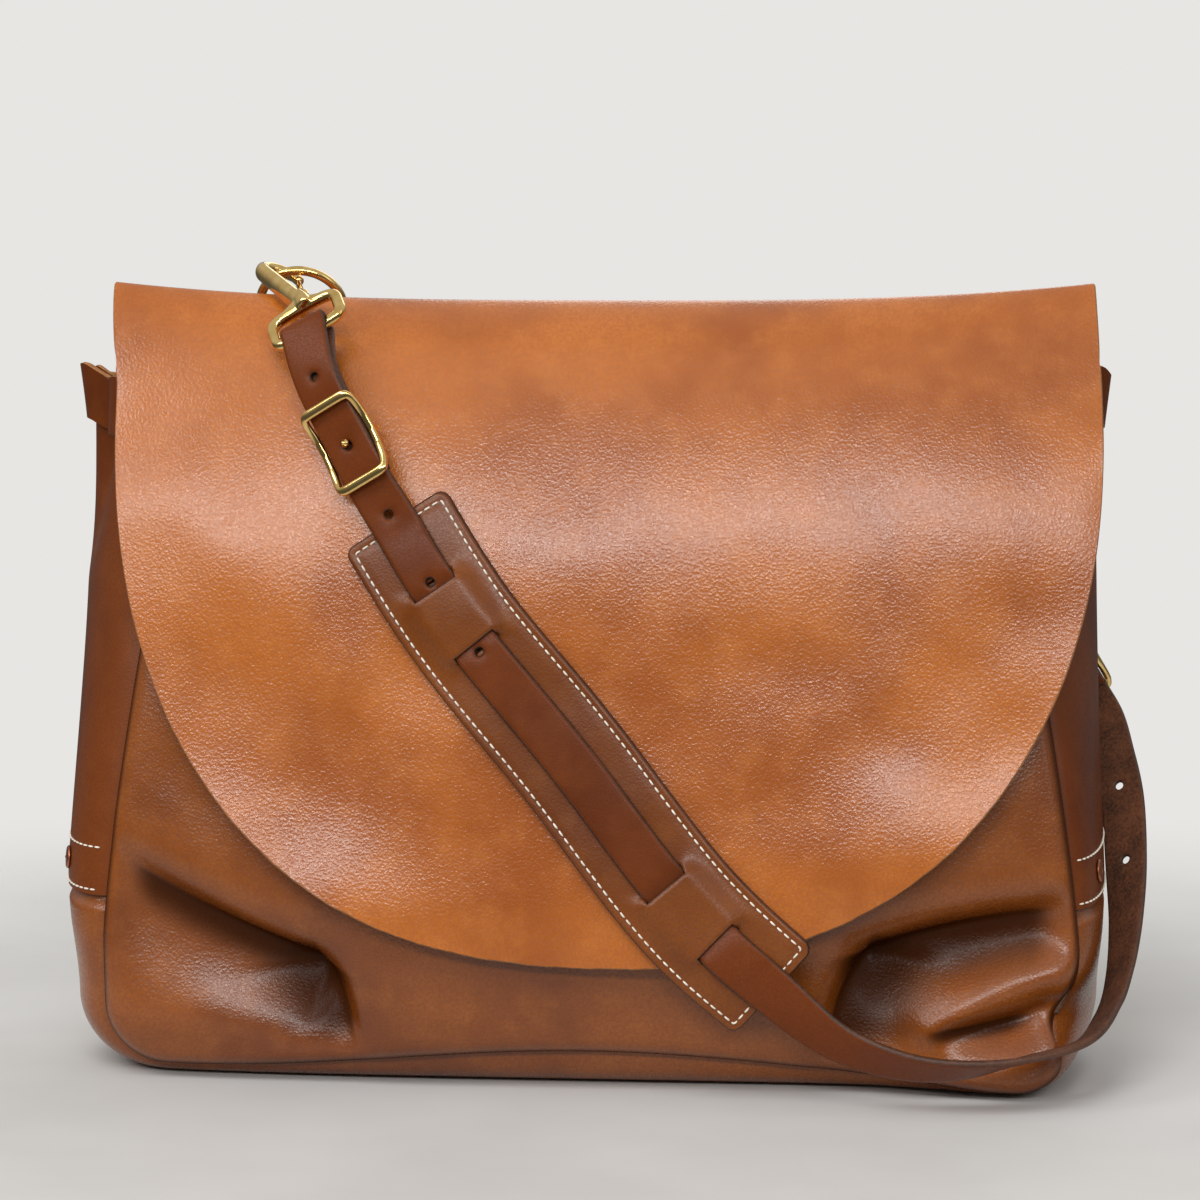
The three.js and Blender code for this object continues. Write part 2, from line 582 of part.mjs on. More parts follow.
function band(side) {
  const tall = BAND_HEIGHT / (MOUTH_Z - SEAM_HEIGHT - FRONT_CORNER);
  const angles = steps(16, BAND_END, Math.PI - BAND_END);
  const rows = steps(2, -BAND_RAISED, tall);
  const toSide = (p) => (side === 'left' ? p : 5 - p);
  const standoff = (row, angle) => 2 * GAP + BAND_IN_FOLD * bump(angle - Math.PI / 2, BAND_FOLD_WIDE)
    + BAND_FLARE * (1 - (row - rows[0]) / (tall - rows[0]));
  const sideways = vec(side === 'left' ? -1 : 1, 0, 0);
  const offset = (extra) => rows.map((row) => angles.map((angle) => {
    const distance = standoff(row, angle) + extra;
    const straight = gussetPoint(toSide(row), angle).addScaledVector(sideways, distance);
    return gussetInside(toSide(row), angle, -distance)
      .lerp(straight, BAND_STRAIGHT * bump(angle - Math.PI / 2, BAND_FOLD_WIDE));
  }));
  return wall(offset(BAND_THICK), offset(0));
}

// Copper rivet through the lap: head outside, shank through both layers, small head inside
const RIVET_ANGLE = 1.05;     // its place round the side, from the front seam
const RIVET = { head: 5, crown: 2.6, shank: 1.6, burr: 4, thick: 0.9 };
const RIVET_UP = vec(0, 0.3, 1);

function rivetAxis(side) {
  const lap = sideStretch((LAP_LOW_Z + LAP_HIGH_Z) / 2);
  const p = side === 'left' ? lap : 5 - lap;
  const origin = gussetInside(p, RIVET_ANGLE, 0);
  const outward = gussetInside(p, RIVET_ANGLE, -1).sub(origin).normalize();
  return (depth) => origin.clone().addScaledVector(outward, depth);
}

function rivet(side) {
  const at = rivetAxis(side);
  const inside = -2 * HIDE - 7 * GAP;
  const headRadii = [RIVET.head, RIVET.head, RIVET.crown];
  const head = bar([at(GAP), at(GAP + RIVET.thick), at(GAP + 2 * RIVET.thick)], RIVET_UP,
    headRadii, headRadii, { sides: 10 });
  const shankLine = [at(GAP + RIVET.thick / 2), at(inside - RIVET.thick / 2)];
  const shank = bar(shankLine, RIVET_UP, RIVET.shank, RIVET.shank);
  const burr = bar([at(inside), at(inside - RIVET.thick)], RIVET_UP, RIVET.burr, RIVET.burr, { sides: 10 });
  return joined(head, shank, burr);
}

function rivetHole(side) {
  const at = rivetAxis(side);
  return bar([at(2 * HIDE), at(-4 * HIDE)], RIVET_UP, RIVET.shank + GAP, RIVET.shank + GAP);
}

// Shoulder pad
const padLine = PAD_LINE.map((row) => vec(row.x, 0, row.z));
const padLength = (() => {
  const samples = steps(60).map((t) => through(padLine, t));
  return samples.slice(1).reduce((sum, p, i) => sum + p.distanceTo(samples[i]), 0);
})();

// Point of the pad line a given length from its top end, with its direction in X and Z
const padTable = (() => {
  const samples = steps(240).map((t) => ({ t, point: through(padLine, t) }));
  let along = 0;
  return samples.map((sample, i) => {
    if (i > 0) along += sample.point.distanceTo(samples[i - 1].point);
    return { t: sample.t, along };
  });
})();
const padParameter = curve(padTable, 'along', 't');

function padFrame(along) {
  const t = padParameter(clamp(along, 0, padLength));
  const nudge = 0.004;
  const before = through(padLine, Math.max(t - nudge, 0));
  const heading = through(padLine, Math.min(t + nudge, 1)).sub(before).normalize();
  return { middle: through(padLine, t), across: vec(-heading.z, 0, heading.x), heading };
}

// How far the strap runs under the top layer: 1 between the slots of a pair, else 0
function underTop(along) {
  return SLOTS.reduce((sum, slot) =>
    sum + slot.under * smoothstep(along, slot.along - SLOT_HALF_GAP, slot.along + SLOT_HALF_GAP), 0);
}

const padTopLevel = PAD_LIFT + PAD_THICK + GAP;
const strapOver = padTopLevel + PAD_THICK + 2 * GAP + STRAP_THICK / 2;
const strapUnder = padTopLevel + GAP + STRAP_THICK / 2;
const bulgeRise = STRAP_THICK + 2 * GAP;

function padPoint(along, across, level) {
  const { middle, across: right } = padFrame(along);
  const [x, z] = [middle.x + right.x * across, middle.z + right.z * across];
  return vec(x, flapFace(x, z) - level, z);
}

// Places along the pad between its round corners: both edges of each slot, and steps between
function padStations(spacing) {
  const edges = SLOTS.flatMap(({ along }) => [along - SLOT_HALF_GAP, along + SLOT_HALF_GAP]);
  const stops = [PAD_CORNER, ...edges, padLength - PAD_CORNER];
  const between = stops.slice(1).flatMap((stop, i) => {
    const count = Math.max(1, Math.round((stop - stops[i]) / spacing));
    return steps(count, stops[i], stop).slice(1);
  });
  return [PAD_CORNER, ...between];
}

function padLayer(levelAt, columns) {
  const alongs = [
    ...steps(3, 0, PAD_CORNER).slice(0, -1),
    ...padStations(PAD_STEP),
    ...steps(3, padLength - PAD_CORNER, padLength).slice(1),
  ];
  const halfAt = (along) => {
    const end = clamp(1 - Math.min(along, padLength - along) / PAD_CORNER, 0, 1);
    return PAD_WIDTH / 2 - PAD_CORNER + PAD_CORNER * Math.sqrt(1 - end * end);
  };
  const layer = (extra) => alongs.map((along) => columns.map((s) => {
    const across = s * halfAt(along);
    return padPoint(along, across, levelAt(along, across) + extra);
  }));
  return wall(layer(PAD_THICK), layer(0));
}

const padBase = () => padLayer(() => PAD_LIFT, [-1, 0, 1]);

function padTop() {
  const overStrap = (across) => 1 - smoothstep(Math.abs(across), SLOT_HALF_WIDTH, BULGE_HALF_WIDTH);
  const [slot, foot] = [SLOT_HALF_WIDTH, BULGE_HALF_WIDTH].map((half) => half / (PAD_WIDTH / 2));
  const rise = (along, across) => bulgeRise * underTop(along) * overStrap(across);
  const layer = padLayer(
    (along, across) => padTopLevel + rise(along, across),
    [-1, -foot, -slot, 0, slot, foot, 1],
  );
  const slots = SLOTS.map(({ along }) => {
    const { middle, across, heading } = padFrame(along);
    const origin = vec(middle.x, flapFace(middle.x, middle.z) - padTopLevel - SLOT_TOOL.above, middle.z);
    const box = new THREE.BoxGeometry(2 * SLOT_HALF_WIDTH, 2 * SLOT_HALF_GAP, SLOT_TOOL.high);
    return placed(box, origin, across, heading, across.clone().cross(heading));
  });
  return cut(layer, ...slots);
}

// Hardware places
const RING_LEAN = { left: vec(0, -0.563, 0.827), right: vec(0, 0.6, -0.8) };
const RING_X = { left: -131, right: 131 };
const RING_Y = 26;
const RING_Z = 317;
const ringBar = (side) => vec(RING_X[side], RING_Y, RING_Z);

const ringPoint = (side, angle) => ringBar(side)
  .addScaledVector(RING_LEAN[side], RING_LEG + RING_HALF * Math.cos(angle))
  .add(vec(RING_HALF * Math.sin(angle), 0, 0));

function ring(side) {
  const corners = [vec(-RING_HALF, 0, 0), vec(RING_HALF, 0, 0)].map((p) => p.add(ringBar(side)));
  const foot = steps(3).map((t) => corners[0].clone().lerp(corners[1], t));
  const arc = steps(10, Math.PI / 2, -Math.PI / 2).map((angle) => ringPoint(side, angle));
  const up = vec(1, 0, 0).cross(RING_LEAN[side]);
  return bar([...foot, ...arc], up, RING_WIRE, RING_WIRE, { closed: true });
}

// Snap hook: a strap loop, a neck, and a hook that curls from the shank round the ring
const HOOK_LENGTH = 41;       // from the neck to the ring wire
const HOOK_RADIUS = 7.6;      // bend of the hook, at its middle line
const NECK_TO_EYE = 11;       // from the neck to the middle of the strap loop
const snapFrames = {
  left: {
    seat: ringPoint('left', -0.5),
    axis: vec(-0.515, 0.785, 0.3).normalize(),
    curl: vec(0.6, 0.75, -0.05),
    hang: vec(0.33, -0.73, -0.6).normalize(),
    across: vec(0.876, 0, 0.48),
    strapShift: -1.3,
  },
  right: {
    seat: ringPoint('right', 0),
    axis: vec(-0.5, -0.12, 0.86).normalize(),
    curl: vec(0, -1, 0),
    hang: vec(0.5, 0.12, -0.86).normalize(),
    across: vec(0.87, 0, 0.5),
    strapShift: 0,
  },
};
for (const frame of Object.values(snapFrames)) {
  frame.curl.addScaledVector(frame.axis, -frame.curl.dot(frame.axis)).normalize();
  frame.plane = frame.axis.clone().cross(frame.curl);
  frame.across.addScaledVector(frame.hang, -frame.across.dot(frame.hang)).normalize();
  frame.neck = frame.seat.clone()
    .addScaledVector(frame.axis, -HOOK_LENGTH).addScaledVector(frame.curl, -HOOK_RADIUS);
  frame.eye = frame.neck.clone().addScaledVector(frame.hang, NECK_TO_EYE);
  frame.strapBar = frame.eye.clone().addScaledVector(frame.hang, EYE_DEEP);
}

// Half sizes of the snap's parts, across the hook's plane (high) and in it (wide)
const NECK = { wide: [3.4, 3.3, 2.8], high: [6.4, 5.6, 5.2], end: 5 };
const FAN = { half: 8.5, wide: [3, 2.4] };     // two arms from the neck to the strap loop
const SHANK = { wide: 2.7, high: 5.3, start: 2 };
const HOOK_TIP = { wide: 1.9, high: 2.4, below: 2.6 };
const HOOK_BEND = HOOK_LENGTH - 0.6;   // where the shank turns into the bend
const GATE_PIVOT = { along: 9, aside: 5.2 };
const GATE_TIP = { along: 32.5, aside: 13.4 };
const GATE = { wide: [1.5, 1.1], high: 1.6, barrel: 2.1, pin: 0.9 };
const EAR = { offset: 2.6, wide: 2.4, thick: 0.6, past: 2 };
const snapPoint = (frame, along, aside) => frame.neck.clone()
  .addScaledVector(frame.axis, along).addScaledVector(frame.curl, aside);

function snapBody(side) {
  const frame = snapFrames[side];
  const loop = steps(15, 0, (2 * Math.PI * 15) / 16).map((angle) => frame.eye.clone()
    .addScaledVector(frame.across, EYE_HALF * power(Math.cos(angle), 0.6))
    .addScaledVector(frame.hang, EYE_DEEP * power(Math.sin(angle), 0.4)));
  const eye = bar(loop, frame.across.clone().cross(frame.hang), EYE_WIRE, EYE_WIRE, { closed: true });
  const neck = bar([
    frame.neck.clone().addScaledVector(frame.hang, NECK_TO_EYE - EYE_DEEP),
    frame.neck.clone(),
    snapPoint(frame, NECK.end, 0),
  ], frame.plane, NECK.wide, NECK.high);
  const arms = [-FAN.half, FAN.half].map((aside) => bar([
    frame.neck.clone(),
    frame.eye.clone().addScaledVector(frame.hang, -EYE_DEEP).addScaledVector(frame.across, aside),
  ], frame.plane, FAN.wide, FAN.wide, { sides: 6 }));
  const hookLine = [
    ...steps(4, SHANK.start, HOOK_BEND).map((along) => snapPoint(frame, along, 0)).slice(0, -1),
    ...steps(8, Math.PI, 0.05).map((angle) => snapPoint(
      frame,
      HOOK_BEND + HOOK_RADIUS * Math.sin(angle),
      HOOK_RADIUS + HOOK_RADIUS * Math.cos(angle),
    )),
    snapPoint(frame, GATE_TIP.along + HOOK_TIP.below, 2 * HOOK_RADIUS),
  ];
  const taper = steps(hookLine.length - 1);
  const hook = bar(hookLine, frame.plane, taper.map((t) => lerp(SHANK.wide, HOOK_TIP.wide, t)),
    taper.map((t) => lerp(SHANK.high, HOOK_TIP.high, t)));
  return joined(eye, neck, ...arms, hook);
}

// The gate swings on a pin between two ears of the snap
const gatePivot = (frame) => snapPoint(frame, GATE_PIVOT.along, GATE_PIVOT.aside);

function snapEars(frame) {
  return [-1, 1].map((sign) => {
    const shift = frame.plane.clone().multiplyScalar(sign * EAR.offset);
    const foot = snapPoint(frame, GATE_PIVOT.along, 0).add(shift);
    const top = gatePivot(frame).addScaledVector(frame.curl, EAR.past).add(shift);
    return bar([foot, top], frame.plane, EAR.wide, EAR.thick);
  });
}

function snapLeft() {
  const frame = snapFrames.left;
  const pin = peg(gatePivot(frame), frame.plane, GATE.pin, 2 * EAR.offset);
  return joined(snapBody('left'), ...snapEars(frame), pin);
}

function snapGate() {
  const frame = snapFrames.left;
  const tip = snapPoint(frame, GATE_TIP.along, GATE_TIP.aside);
  const blade = bar([gatePivot(frame), tip], frame.plane, GATE.wide, GATE.high);
  const barrel = peg(gatePivot(frame), frame.plane, GATE.barrel, 2 * GATE.high, 12);
  const bore = peg(gatePivot(frame), frame.plane, GATE.pin + GAP, 4 * GATE.high);
  return cut(joined(barrel, blade), bore);
}

// The back snap is one piece, with its gate closed
function snapRight() {
  const frame = snapFrames.right;
  const tip = snapPoint(frame, GATE_TIP.along + HOOK_TIP.below, 2 * HOOK_RADIUS);
  const closed = bar([snapPoint(frame, NECK.end, 1), tip], frame.plane, GATE.wide, GATE.high);
  return joined(snapBody('right'), closed);
}

// Strap: a list of places with the direction of the strap's right-hand edge
const knot = (point, edge) => ({ point, edge: edge.normalize() });

function onFlap(row, next) {
  const heading = vec(next.x - row.x, 0, next.z - row.z).normalize();
  const edge = vec(-heading.z, 0, heading.x);
  const nudge = 2;
  const slope = (flapFace(row.x + nudge * edge.x, row.z + nudge * edge.z)
    - flapFace(row.x - nudge * edge.x, row.z - nudge * edge.z)) / (2 * nudge);
  edge.y = slope - row.turn;
  return knot(vec(row.x, flapFace(row.x, row.z) - row.lift, row.z), edge);
}

// Along the pad the strap changes level at each slot
function padKnots() {
  return padStations(PAD_STEP).map((along) => {
    const level = lerp(strapOver, strapUnder, underTop(along));
    const [left, right] = [padPoint(along, -2, level), padPoint(along, 2, level)];
    return knot(padPoint(along, 0, level), right.sub(left));
  });
}

const TURN_RADIUS = EYE_WIRE + 2.5 * GAP + STRAP_THICK / 2;

// Half turn of the strap round a snap's bar, from the inner layer to the outer one
function barTurn(frame, outward) {
  return steps(4, -Math.PI / 2, Math.PI / 2).map((angle) => knot(
    frame.strapBar.clone()
      .addScaledVector(frame.across, frame.strapShift)
      .addScaledVector(frame.hang, -TURN_RADIUS * Math.cos(angle))
      .addScaledVector(outward, TURN_RADIUS * Math.sin(angle)),
    frame.across.clone(),
  ));
}

// Inner layer of a folded strap end, lying behind knots of the outer layer
function innerLayer(knots, headings) {
  return knots.map(({ point, edge }, i) => {
    const outward = headings[i].clone().cross(edge).normalize();
    return knot(point.clone().addScaledVector(outward, -STRAP_THICK - GAP), edge.clone());
  });
}

function strapKnots() {
  const [left, right] = [snapFrames.left, snapFrames.right];
  const pad = padKnots();
  const firstOnPad = { x: pad[0].point.x, z: pad[0].point.z };
  const upper = UPPER_ROUTE.map((row, i) => onFlap(row, UPPER_ROUTE[i + 1] ?? firstOnPad));
  const free = FREE_ROUTE.map((row) => knot(vec(row.x, row.y, row.z), vec(row.ex, row.ey, row.ez)));
  const leftOut = left.across.clone().cross(left.hang).normalize();
  const rightOut = right.across.clone().cross(right.hang).normalize();
  const heading = (a, b) => b.point.clone().sub(a.point).normalize();
  const leftHeadings = upper.map((row, i) => heading(row, upper[i + 1] ?? pad[0]));
  const tailRows = free.slice(RIGHT_BUCKLE_ROW - 1);
  const tailHeadings = tailRows.map((row, i) => heading(free[RIGHT_BUCKLE_ROW - 2 + i], row));
  return [
    ...innerLayer(upper, leftHeadings).reverse(),
    ...barTurn(left, leftOut.clone().negate()),
    ...upper,
    ...pad,
    ...free,
    ...barTurn(right, rightOut).reverse(),
    ...innerLayer(tailRows, tailHeadings).reverse(),
  ];
}

function strapSections() {
  const knots = strapKnots();
  const points = knots.map((k) => k.point);
  const edges = knots.map((k) => k.edge);
  const last = knots.length - 1;
  const sections = [];
  for (let i = 0; i < last; i += 1) {
    const count = Math.max(1, Math.round(points[i].distanceTo(points[i + 1]) / STRAP_STEP));
    for (let k = 0; k < count + (i === last - 1 ? 1 : 0); k += 1) {
      const t = (i + k / count) / last;
      const before = through(points, Math.max(t - 0.002, 0));
      const heading = through(points, Math.min(t + 0.002, 1)).sub(before).normalize();
      const edge = through(edges, t);
      edge.addScaledVector(heading, -edge.dot(heading)).normalize();
      sections.push({ point: through(points, t), heading, edge });
    }
  }
  return sections;
}

function ribbon(sections, width, thickness) {
  const face = (sign) => sections.map(({ point, heading, edge }) => {
    const outward = edge.clone().cross(heading).multiplyScalar((sign * thickness) / 2);
    return [-1, 1].map((s) => point.clone().add(outward).addScaledVector(edge, (s * width) / 2));
  });
  return wall(face(1), face(-1));
}

// Buckle places on the strap: between its two layers
function buckleFrame(side) {
  const knots = strapKnots();
  const free = knots.length - FREE_ROUTE.length - 5 - (FREE_ROUTE.length - RIGHT_BUCKLE_ROW + 1);
  const i = side === 'left' ? UPPER_ROUTE.length + 5 + LEFT_BUCKLE_ROW : free + RIGHT_BUCKLE_ROW;
  const heading = knots[i + 1].point.clone().sub(knots[i - 1].point).normalize();
  const across = knots[i].edge.clone();
  across.addScaledVector(heading, -across.dot(heading)).normalize();
  const outward = heading.clone().cross(across);
  const middle = knots[i].point.clone().addScaledVector(outward, -(STRAP_THICK + GAP) / 2);
  return { middle, heading, across, outward };
}

const BUCKLE_HALF_LONG = 17.6;
const BUCKLE_HALF_WIDE = 12;
const BUCKLE_WIRE = 1.5;
const BUCKLE_END = 2.1;       // half width of its two end bars
const BUCKLE_SPARE = 1.2;     // room between the strap and the buckle's bars
const BUCKLE_DIP = 5.5;       // how far its side rails sink between the end bars
const BUCKLE_DROP = 2;        // bend of the middle bar where it drops behind the strap
const STUD = { radius: 1.3, ball: 2, rise: 0.6 };

function buckle(side) {
  const { middle, heading, across, outward } = buckleFrame(side);
  const clear = STRAP_THICK + BUCKLE_SPARE + BUCKLE_WIRE;
  const place = (along, aside, out) => middle.clone()
    .addScaledVector(heading, along).addScaledVector(across, aside).addScaledVector(outward, out);
  const turns = steps(19, 0, (2 * Math.PI * 19) / 20);
  const loop = turns.map((angle) => {
    const along = BUCKLE_HALF_LONG * power(Math.cos(angle), 0.3);
    const aside = BUCKLE_HALF_WIDE * power(Math.sin(angle), 0.3);
    return place(along, aside, clear - BUCKLE_DIP * (1 - (along / BUCKLE_HALF_LONG) ** 2));
  });
  const wide = turns.map((angle) => lerp(BUCKLE_WIRE, BUCKLE_END, Math.cos(angle) ** 2));
  const rim = bar(loop, outward, wide, BUCKLE_WIRE, { closed: true, sides: 6 });
  const rail = bar([
    [-BUCKLE_HALF_WIDE, clear - BUCKLE_DIP],
    [-BUCKLE_HALF_WIDE, BUCKLE_DROP - clear],
    [BUCKLE_DROP - BUCKLE_HALF_WIDE, -clear],
    [BUCKLE_HALF_WIDE - BUCKLE_DROP, -clear],
    [BUCKLE_HALF_WIDE, BUCKLE_DROP - clear],
    [BUCKLE_HALF_WIDE, clear - BUCKLE_DIP],
  ].map(([aside, out]) => place(0, aside, out)), heading, BUCKLE_WIRE, BUCKLE_WIRE, { sides: 6 });
  const stud = peg(place(0, 0, 0), outward, STUD.radius, 2 * clear, 8);
  const ball = placed(new THREE.SphereGeometry(STUD.ball, 8, 6), place(0, 0, clear + STUD.rise),
    heading, across, outward);
  return joined(rim, rail, stud, ball);
}

const HOLE_SIDES = 10;
const holePeg = (point, axis) => peg(point, axis, HOLE_RADIUS, 14, HOLE_SIDES);

function strap() {
  const sections = strapSections();
  const body = ribbon(sections, STRAP_WIDTH, STRAP_THICK);
  const studHoles = ['left', 'right'].map((side) => {
    const { middle, outward } = buckleFrame(side);
    return holePeg(middle, outward);
  });
  const spareHoles = SPARE_HOLES.map((hole) => {
    const at = vec(hole.x, hole.y, hole.z);
    const distance = (section) => section.point.distanceTo(at);
    const near = sections.reduce((best, section) => (distance(section) < distance(best) ? section : best));
    return peg(at, near.heading.clone().cross(near.edge).normalize(), HOLE_RADIUS, hole.depth, HOLE_SIDES);
  });
  return cut(body, ...studHoles, ...spareHoles);
}

// Leather loop that holds a ring on the back
function chape(side) {
  const barAt = ringBar(side);
  const wrap = RING_WIRE + GAP + CHAPE_THICK / 2;
  const edge = vec(1, 0, 0);
  const backAt = (z) => (z <= FOLD_Z ? backBehind(z)
    : backBehind(FOLD_Z) * Math.sqrt(Math.max(0, 1 - ((z - FOLD_Z) / foldRise(barAt.x)) ** 2)));
  const inner = steps(3, barAt.z - CHAPE_LENGTH, barAt.z - CHAPE_NECK)
    .map((z) => vec(barAt.x, backAt(z) + 2 * GAP + CHAPE_THICK / 2, z));
  const round = steps(4, Math.PI, 0).map((angle) =>
    vec(barAt.x, barAt.y + wrap * Math.cos(angle), barAt.z + wrap * Math.sin(angle)));
  const outer = inner.map((p) => p.clone().add(vec(0, CHAPE_THICK + GAP, 0))).reverse();
  const points = [...inner, ...round, ...outer];
  const sections = steps(18).map((t) => {
    const before = through(points, Math.max(t - 0.01, 0));
    const heading = through(points, Math.min(t + 0.01, 1)).sub(before).normalize();
    return { point: through(points, t), heading, edge };
  });
  return ribbon(sections, CHAPE_WIDTH, CHAPE_THICK);
}

// Assembly
const bag = new THREE.Group();

function add(name, geometry, finish) {
  const mesh = new THREE.Mesh(geometry, new THREE.MeshStandardMaterial(finish));
  mesh.name = name;
  bag.add(mesh);
}

const rivetHoles = { left: rivetHole('left'), right: rivetHole('right') };
add('back_flap', backFlap(), LEATHER);
add('front_panel', frontPanel(), LEATHER);
add('gusset_base', cut(gussetBase(), rivetHoles.left, rivetHoles.right), LEATHER);
add('strap', strap(), STRAP_HIDE);
add('pad_top', padTop(), PAD_HIDE);
add('pad_base', padBase(), PAD_HIDE);
for (const side of ['left', 'right']) {
  add(`gusset_${side}`, cut(gussetSide(side), rivetHoles[side]), DARK_HIDE);
  add(`band_${side}`, band(side), DARK_HIDE);
  add(`rivet_${side}`, rivet(side), COPPER);
  add(`ring_${side}`, ring(side), BRASS);
  add(`chape_${side}`, chape(side), DARK_HIDE);
}
add('buckle_front', buckle('left'), BRASS);
add('buckle_back', buckle('right'), BRASS);
add('snap_left', snapLeft(), BRASS);
add('snap_gate', snapGate(), BRASS);
add('snap_right', snapRight(), BRASS);

export default bag;
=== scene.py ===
# %% [markdown]
# # A leather messenger bag
# The bag is a soft leather box under a big round flap, with a strap that runs across the flap
# through a slotted shoulder pad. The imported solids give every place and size; this lesson
# rebuilds each piece as a fine surface round them and gives it its finish.

import bmesh
import bpy
import numpy as np
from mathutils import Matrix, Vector


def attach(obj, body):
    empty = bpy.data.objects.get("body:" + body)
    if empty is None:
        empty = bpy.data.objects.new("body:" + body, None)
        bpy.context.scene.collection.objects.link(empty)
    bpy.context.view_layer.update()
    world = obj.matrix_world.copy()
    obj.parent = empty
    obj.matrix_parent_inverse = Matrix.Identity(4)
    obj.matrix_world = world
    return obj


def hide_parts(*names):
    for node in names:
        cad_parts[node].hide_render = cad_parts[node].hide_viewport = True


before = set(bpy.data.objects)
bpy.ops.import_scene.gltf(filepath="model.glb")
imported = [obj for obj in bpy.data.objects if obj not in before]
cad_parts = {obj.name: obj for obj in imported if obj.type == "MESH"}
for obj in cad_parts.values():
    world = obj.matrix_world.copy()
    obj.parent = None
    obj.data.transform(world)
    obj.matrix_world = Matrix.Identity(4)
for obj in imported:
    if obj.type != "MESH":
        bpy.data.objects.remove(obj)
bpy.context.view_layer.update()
print("packed nodes:", len(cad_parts))

# %% [markdown]
# ## Camera
# The picture was taken from slightly right of the middle and a little above, with a long lens,
# so the camera stands 1.6 m away and looks at a point 200 mm above the floor.

# %% Camera
AIM = Vector((0, 0, 0.2))
AZIMUTH, ELEVATION, DISTANCE = np.radians(4.5), np.radians(6), 1.6
away = Vector((
    np.sin(AZIMUTH) * np.cos(ELEVATION),
    -np.cos(AZIMUTH) * np.cos(ELEVATION),
    np.sin(ELEVATION),
))
lens = bpy.data.cameras.new("camera")
lens.lens, lens.sensor_width = 112.1, 36
lens.clip_start, lens.clip_end = 0.05, 60
camera = bpy.data.objects.new("camera", lens)
camera.location = AIM + away * DISTANCE
camera.rotation_mode = "QUATERNION"
camera.rotation_quaternion = (-away).to_track_quat("-Z", "Y")
bpy.context.scene.collection.objects.link(camera)
bpy.context.scene.camera = camera
print("camera at", [round(v, 3) for v in camera.location])

# %% [markdown]
# ## Light
# The bright room does most of the lighting. A weak sun, high and in front, gives the shadows a
# direction. Its broad mirror image would lie on the leather as a pale band, so shiny surfaces
# don't see it. A wide panel behind the camera gives the flap its sheen, and small panels stand
# on the left, on the right and behind.

# %% Light
LAMPS = [
    # name, place, aimed at, width, height, power
    ("left_panel", (-1.1, -0.8, 1.1), (0.0, 0.0, 0.2), 0.5, 0.6, 5),
    ("right_panel", (1.35, -0.9, 0.8), (0.05, 0.0, 0.15), 0.8, 1.0, 2),
    ("sheen_panel", (-0.15, -2.1, 1.17), (0.0, 0.0, 0.2), 2.6, 0.25, 27),
    ("back_panel", (0.3, 1.6, 1.2), (0.0, 0.0, 0.2), 1.2, 0.8, 5),
]
SUN_FROM, SUN_STRENGTH, SUN_SPREAD = (-0.15, -0.65, 1.0), 1.0, np.radians(30)


def lamp(name, place, target, width, height, power):
    """A rectangular area lamp at a place, turned towards a target."""
    data = bpy.data.lights.new(name, "AREA")
    data.shape, data.size, data.size_y, data.energy = "RECTANGLE", width, height, power
    aim_lamp(name, data, place, target)


def aim_lamp(name, data, place, target):
    """Puts a lamp at a place and turns it towards a target."""
    made = bpy.data.objects.new(name, data)
    made.location = place
    made.rotation_mode = "QUATERNION"
    made.rotation_quaternion = (Vector(target) - Vector(place)).to_track_quat("-Z", "Y")
    bpy.context.scene.collection.objects.link(made)
    return made


for row in LAMPS:
    lamp(*row)
sun = bpy.data.lights.new("broad_sun", "SUN")
sun.energy, sun.angle = SUN_STRENGTH, SUN_SPREAD
aim_lamp("broad_sun", sun, SUN_FROM, (0, 0, 0)).visible_glossy = False
print("lamps:", len(LAMPS) + 1)

# %% [markdown]
# ## Shader arithmetic
# A finish is mostly small sums of noises, so one class wraps a socket and lets Python's own
# operators add the Math nodes. Any other node comes from its `node` method.


# %% Shader arithmetic
class Shade:
    """One socket of a node tree. Arithmetic on it adds Math nodes to the same tree."""

    def __init__(self, tree, socket=None):
        self.tree, self.socket = tree, socket

    def node(self, kind, settings=None, sockets=None, output=0):
        """Adds a node: its settings first, then the values or links of its sockets."""
        made = self.tree.nodes.new("ShaderNode" + kind)
        for key, value in (settings or {}).items():
            setattr(made, key, value)
        for key, value in (sockets or {}).items():
            if isinstance(value, Shade):
                self.tree.links.new(value.socket, made.inputs[key])
            else:
                made.inputs[key].default_value = value
        return Shade(self.tree, made.outputs[output])

    def math(self, operation, first, second):
        """One Math node of two values."""
        return self.node("Math", {"operation": operation}, {0: first, 1: second})

    def __add__(self, other):
        return self.math("ADD", self, other)

    def __sub__(self, other):
        return self.math("SUBTRACT", self, other)

    def __rsub__(self, other):
        return self.math("SUBTRACT", other, self)

    def __mul__(self, other):
        return self.math("MULTIPLY", self, other)

    __radd__, __rmul__ = __add__, __mul__

    def step(self, low, high):
        """0 below low, 1 above high, smooth between."""
        sockets = {"Value": self, "From Min": low, "From Max": high}
        return self.node("MapRange", {"interpolation_type": "SMOOTHSTEP"}, sockets)

    def mix(self, first, second):
        """Colour between first, where this is 0, and second, where it is 1."""
        return self.node("Mix", {"data_type": "RGBA"}, {0: self, 6: first, 7: second}, 2)


def colour(red, green, blue):
    """Linear colour of a 0 to 255 screen colour."""
    screen = np.array([red, green, blue]) / 255
    linear = np.where(screen < 0.04045, screen / 12.92, ((screen + 0.055) / 1.055) ** 2.4)
    return (*linear.tolist(), 1.0)


def finish(name):
    """A new material with a Principled shader: the material, its tree and the shader node."""
    made = bpy.data.materials.new(name)
    made.use_nodes = True
    return made, Shade(made.node_tree), made.node_tree.nodes["Principled BSDF"]


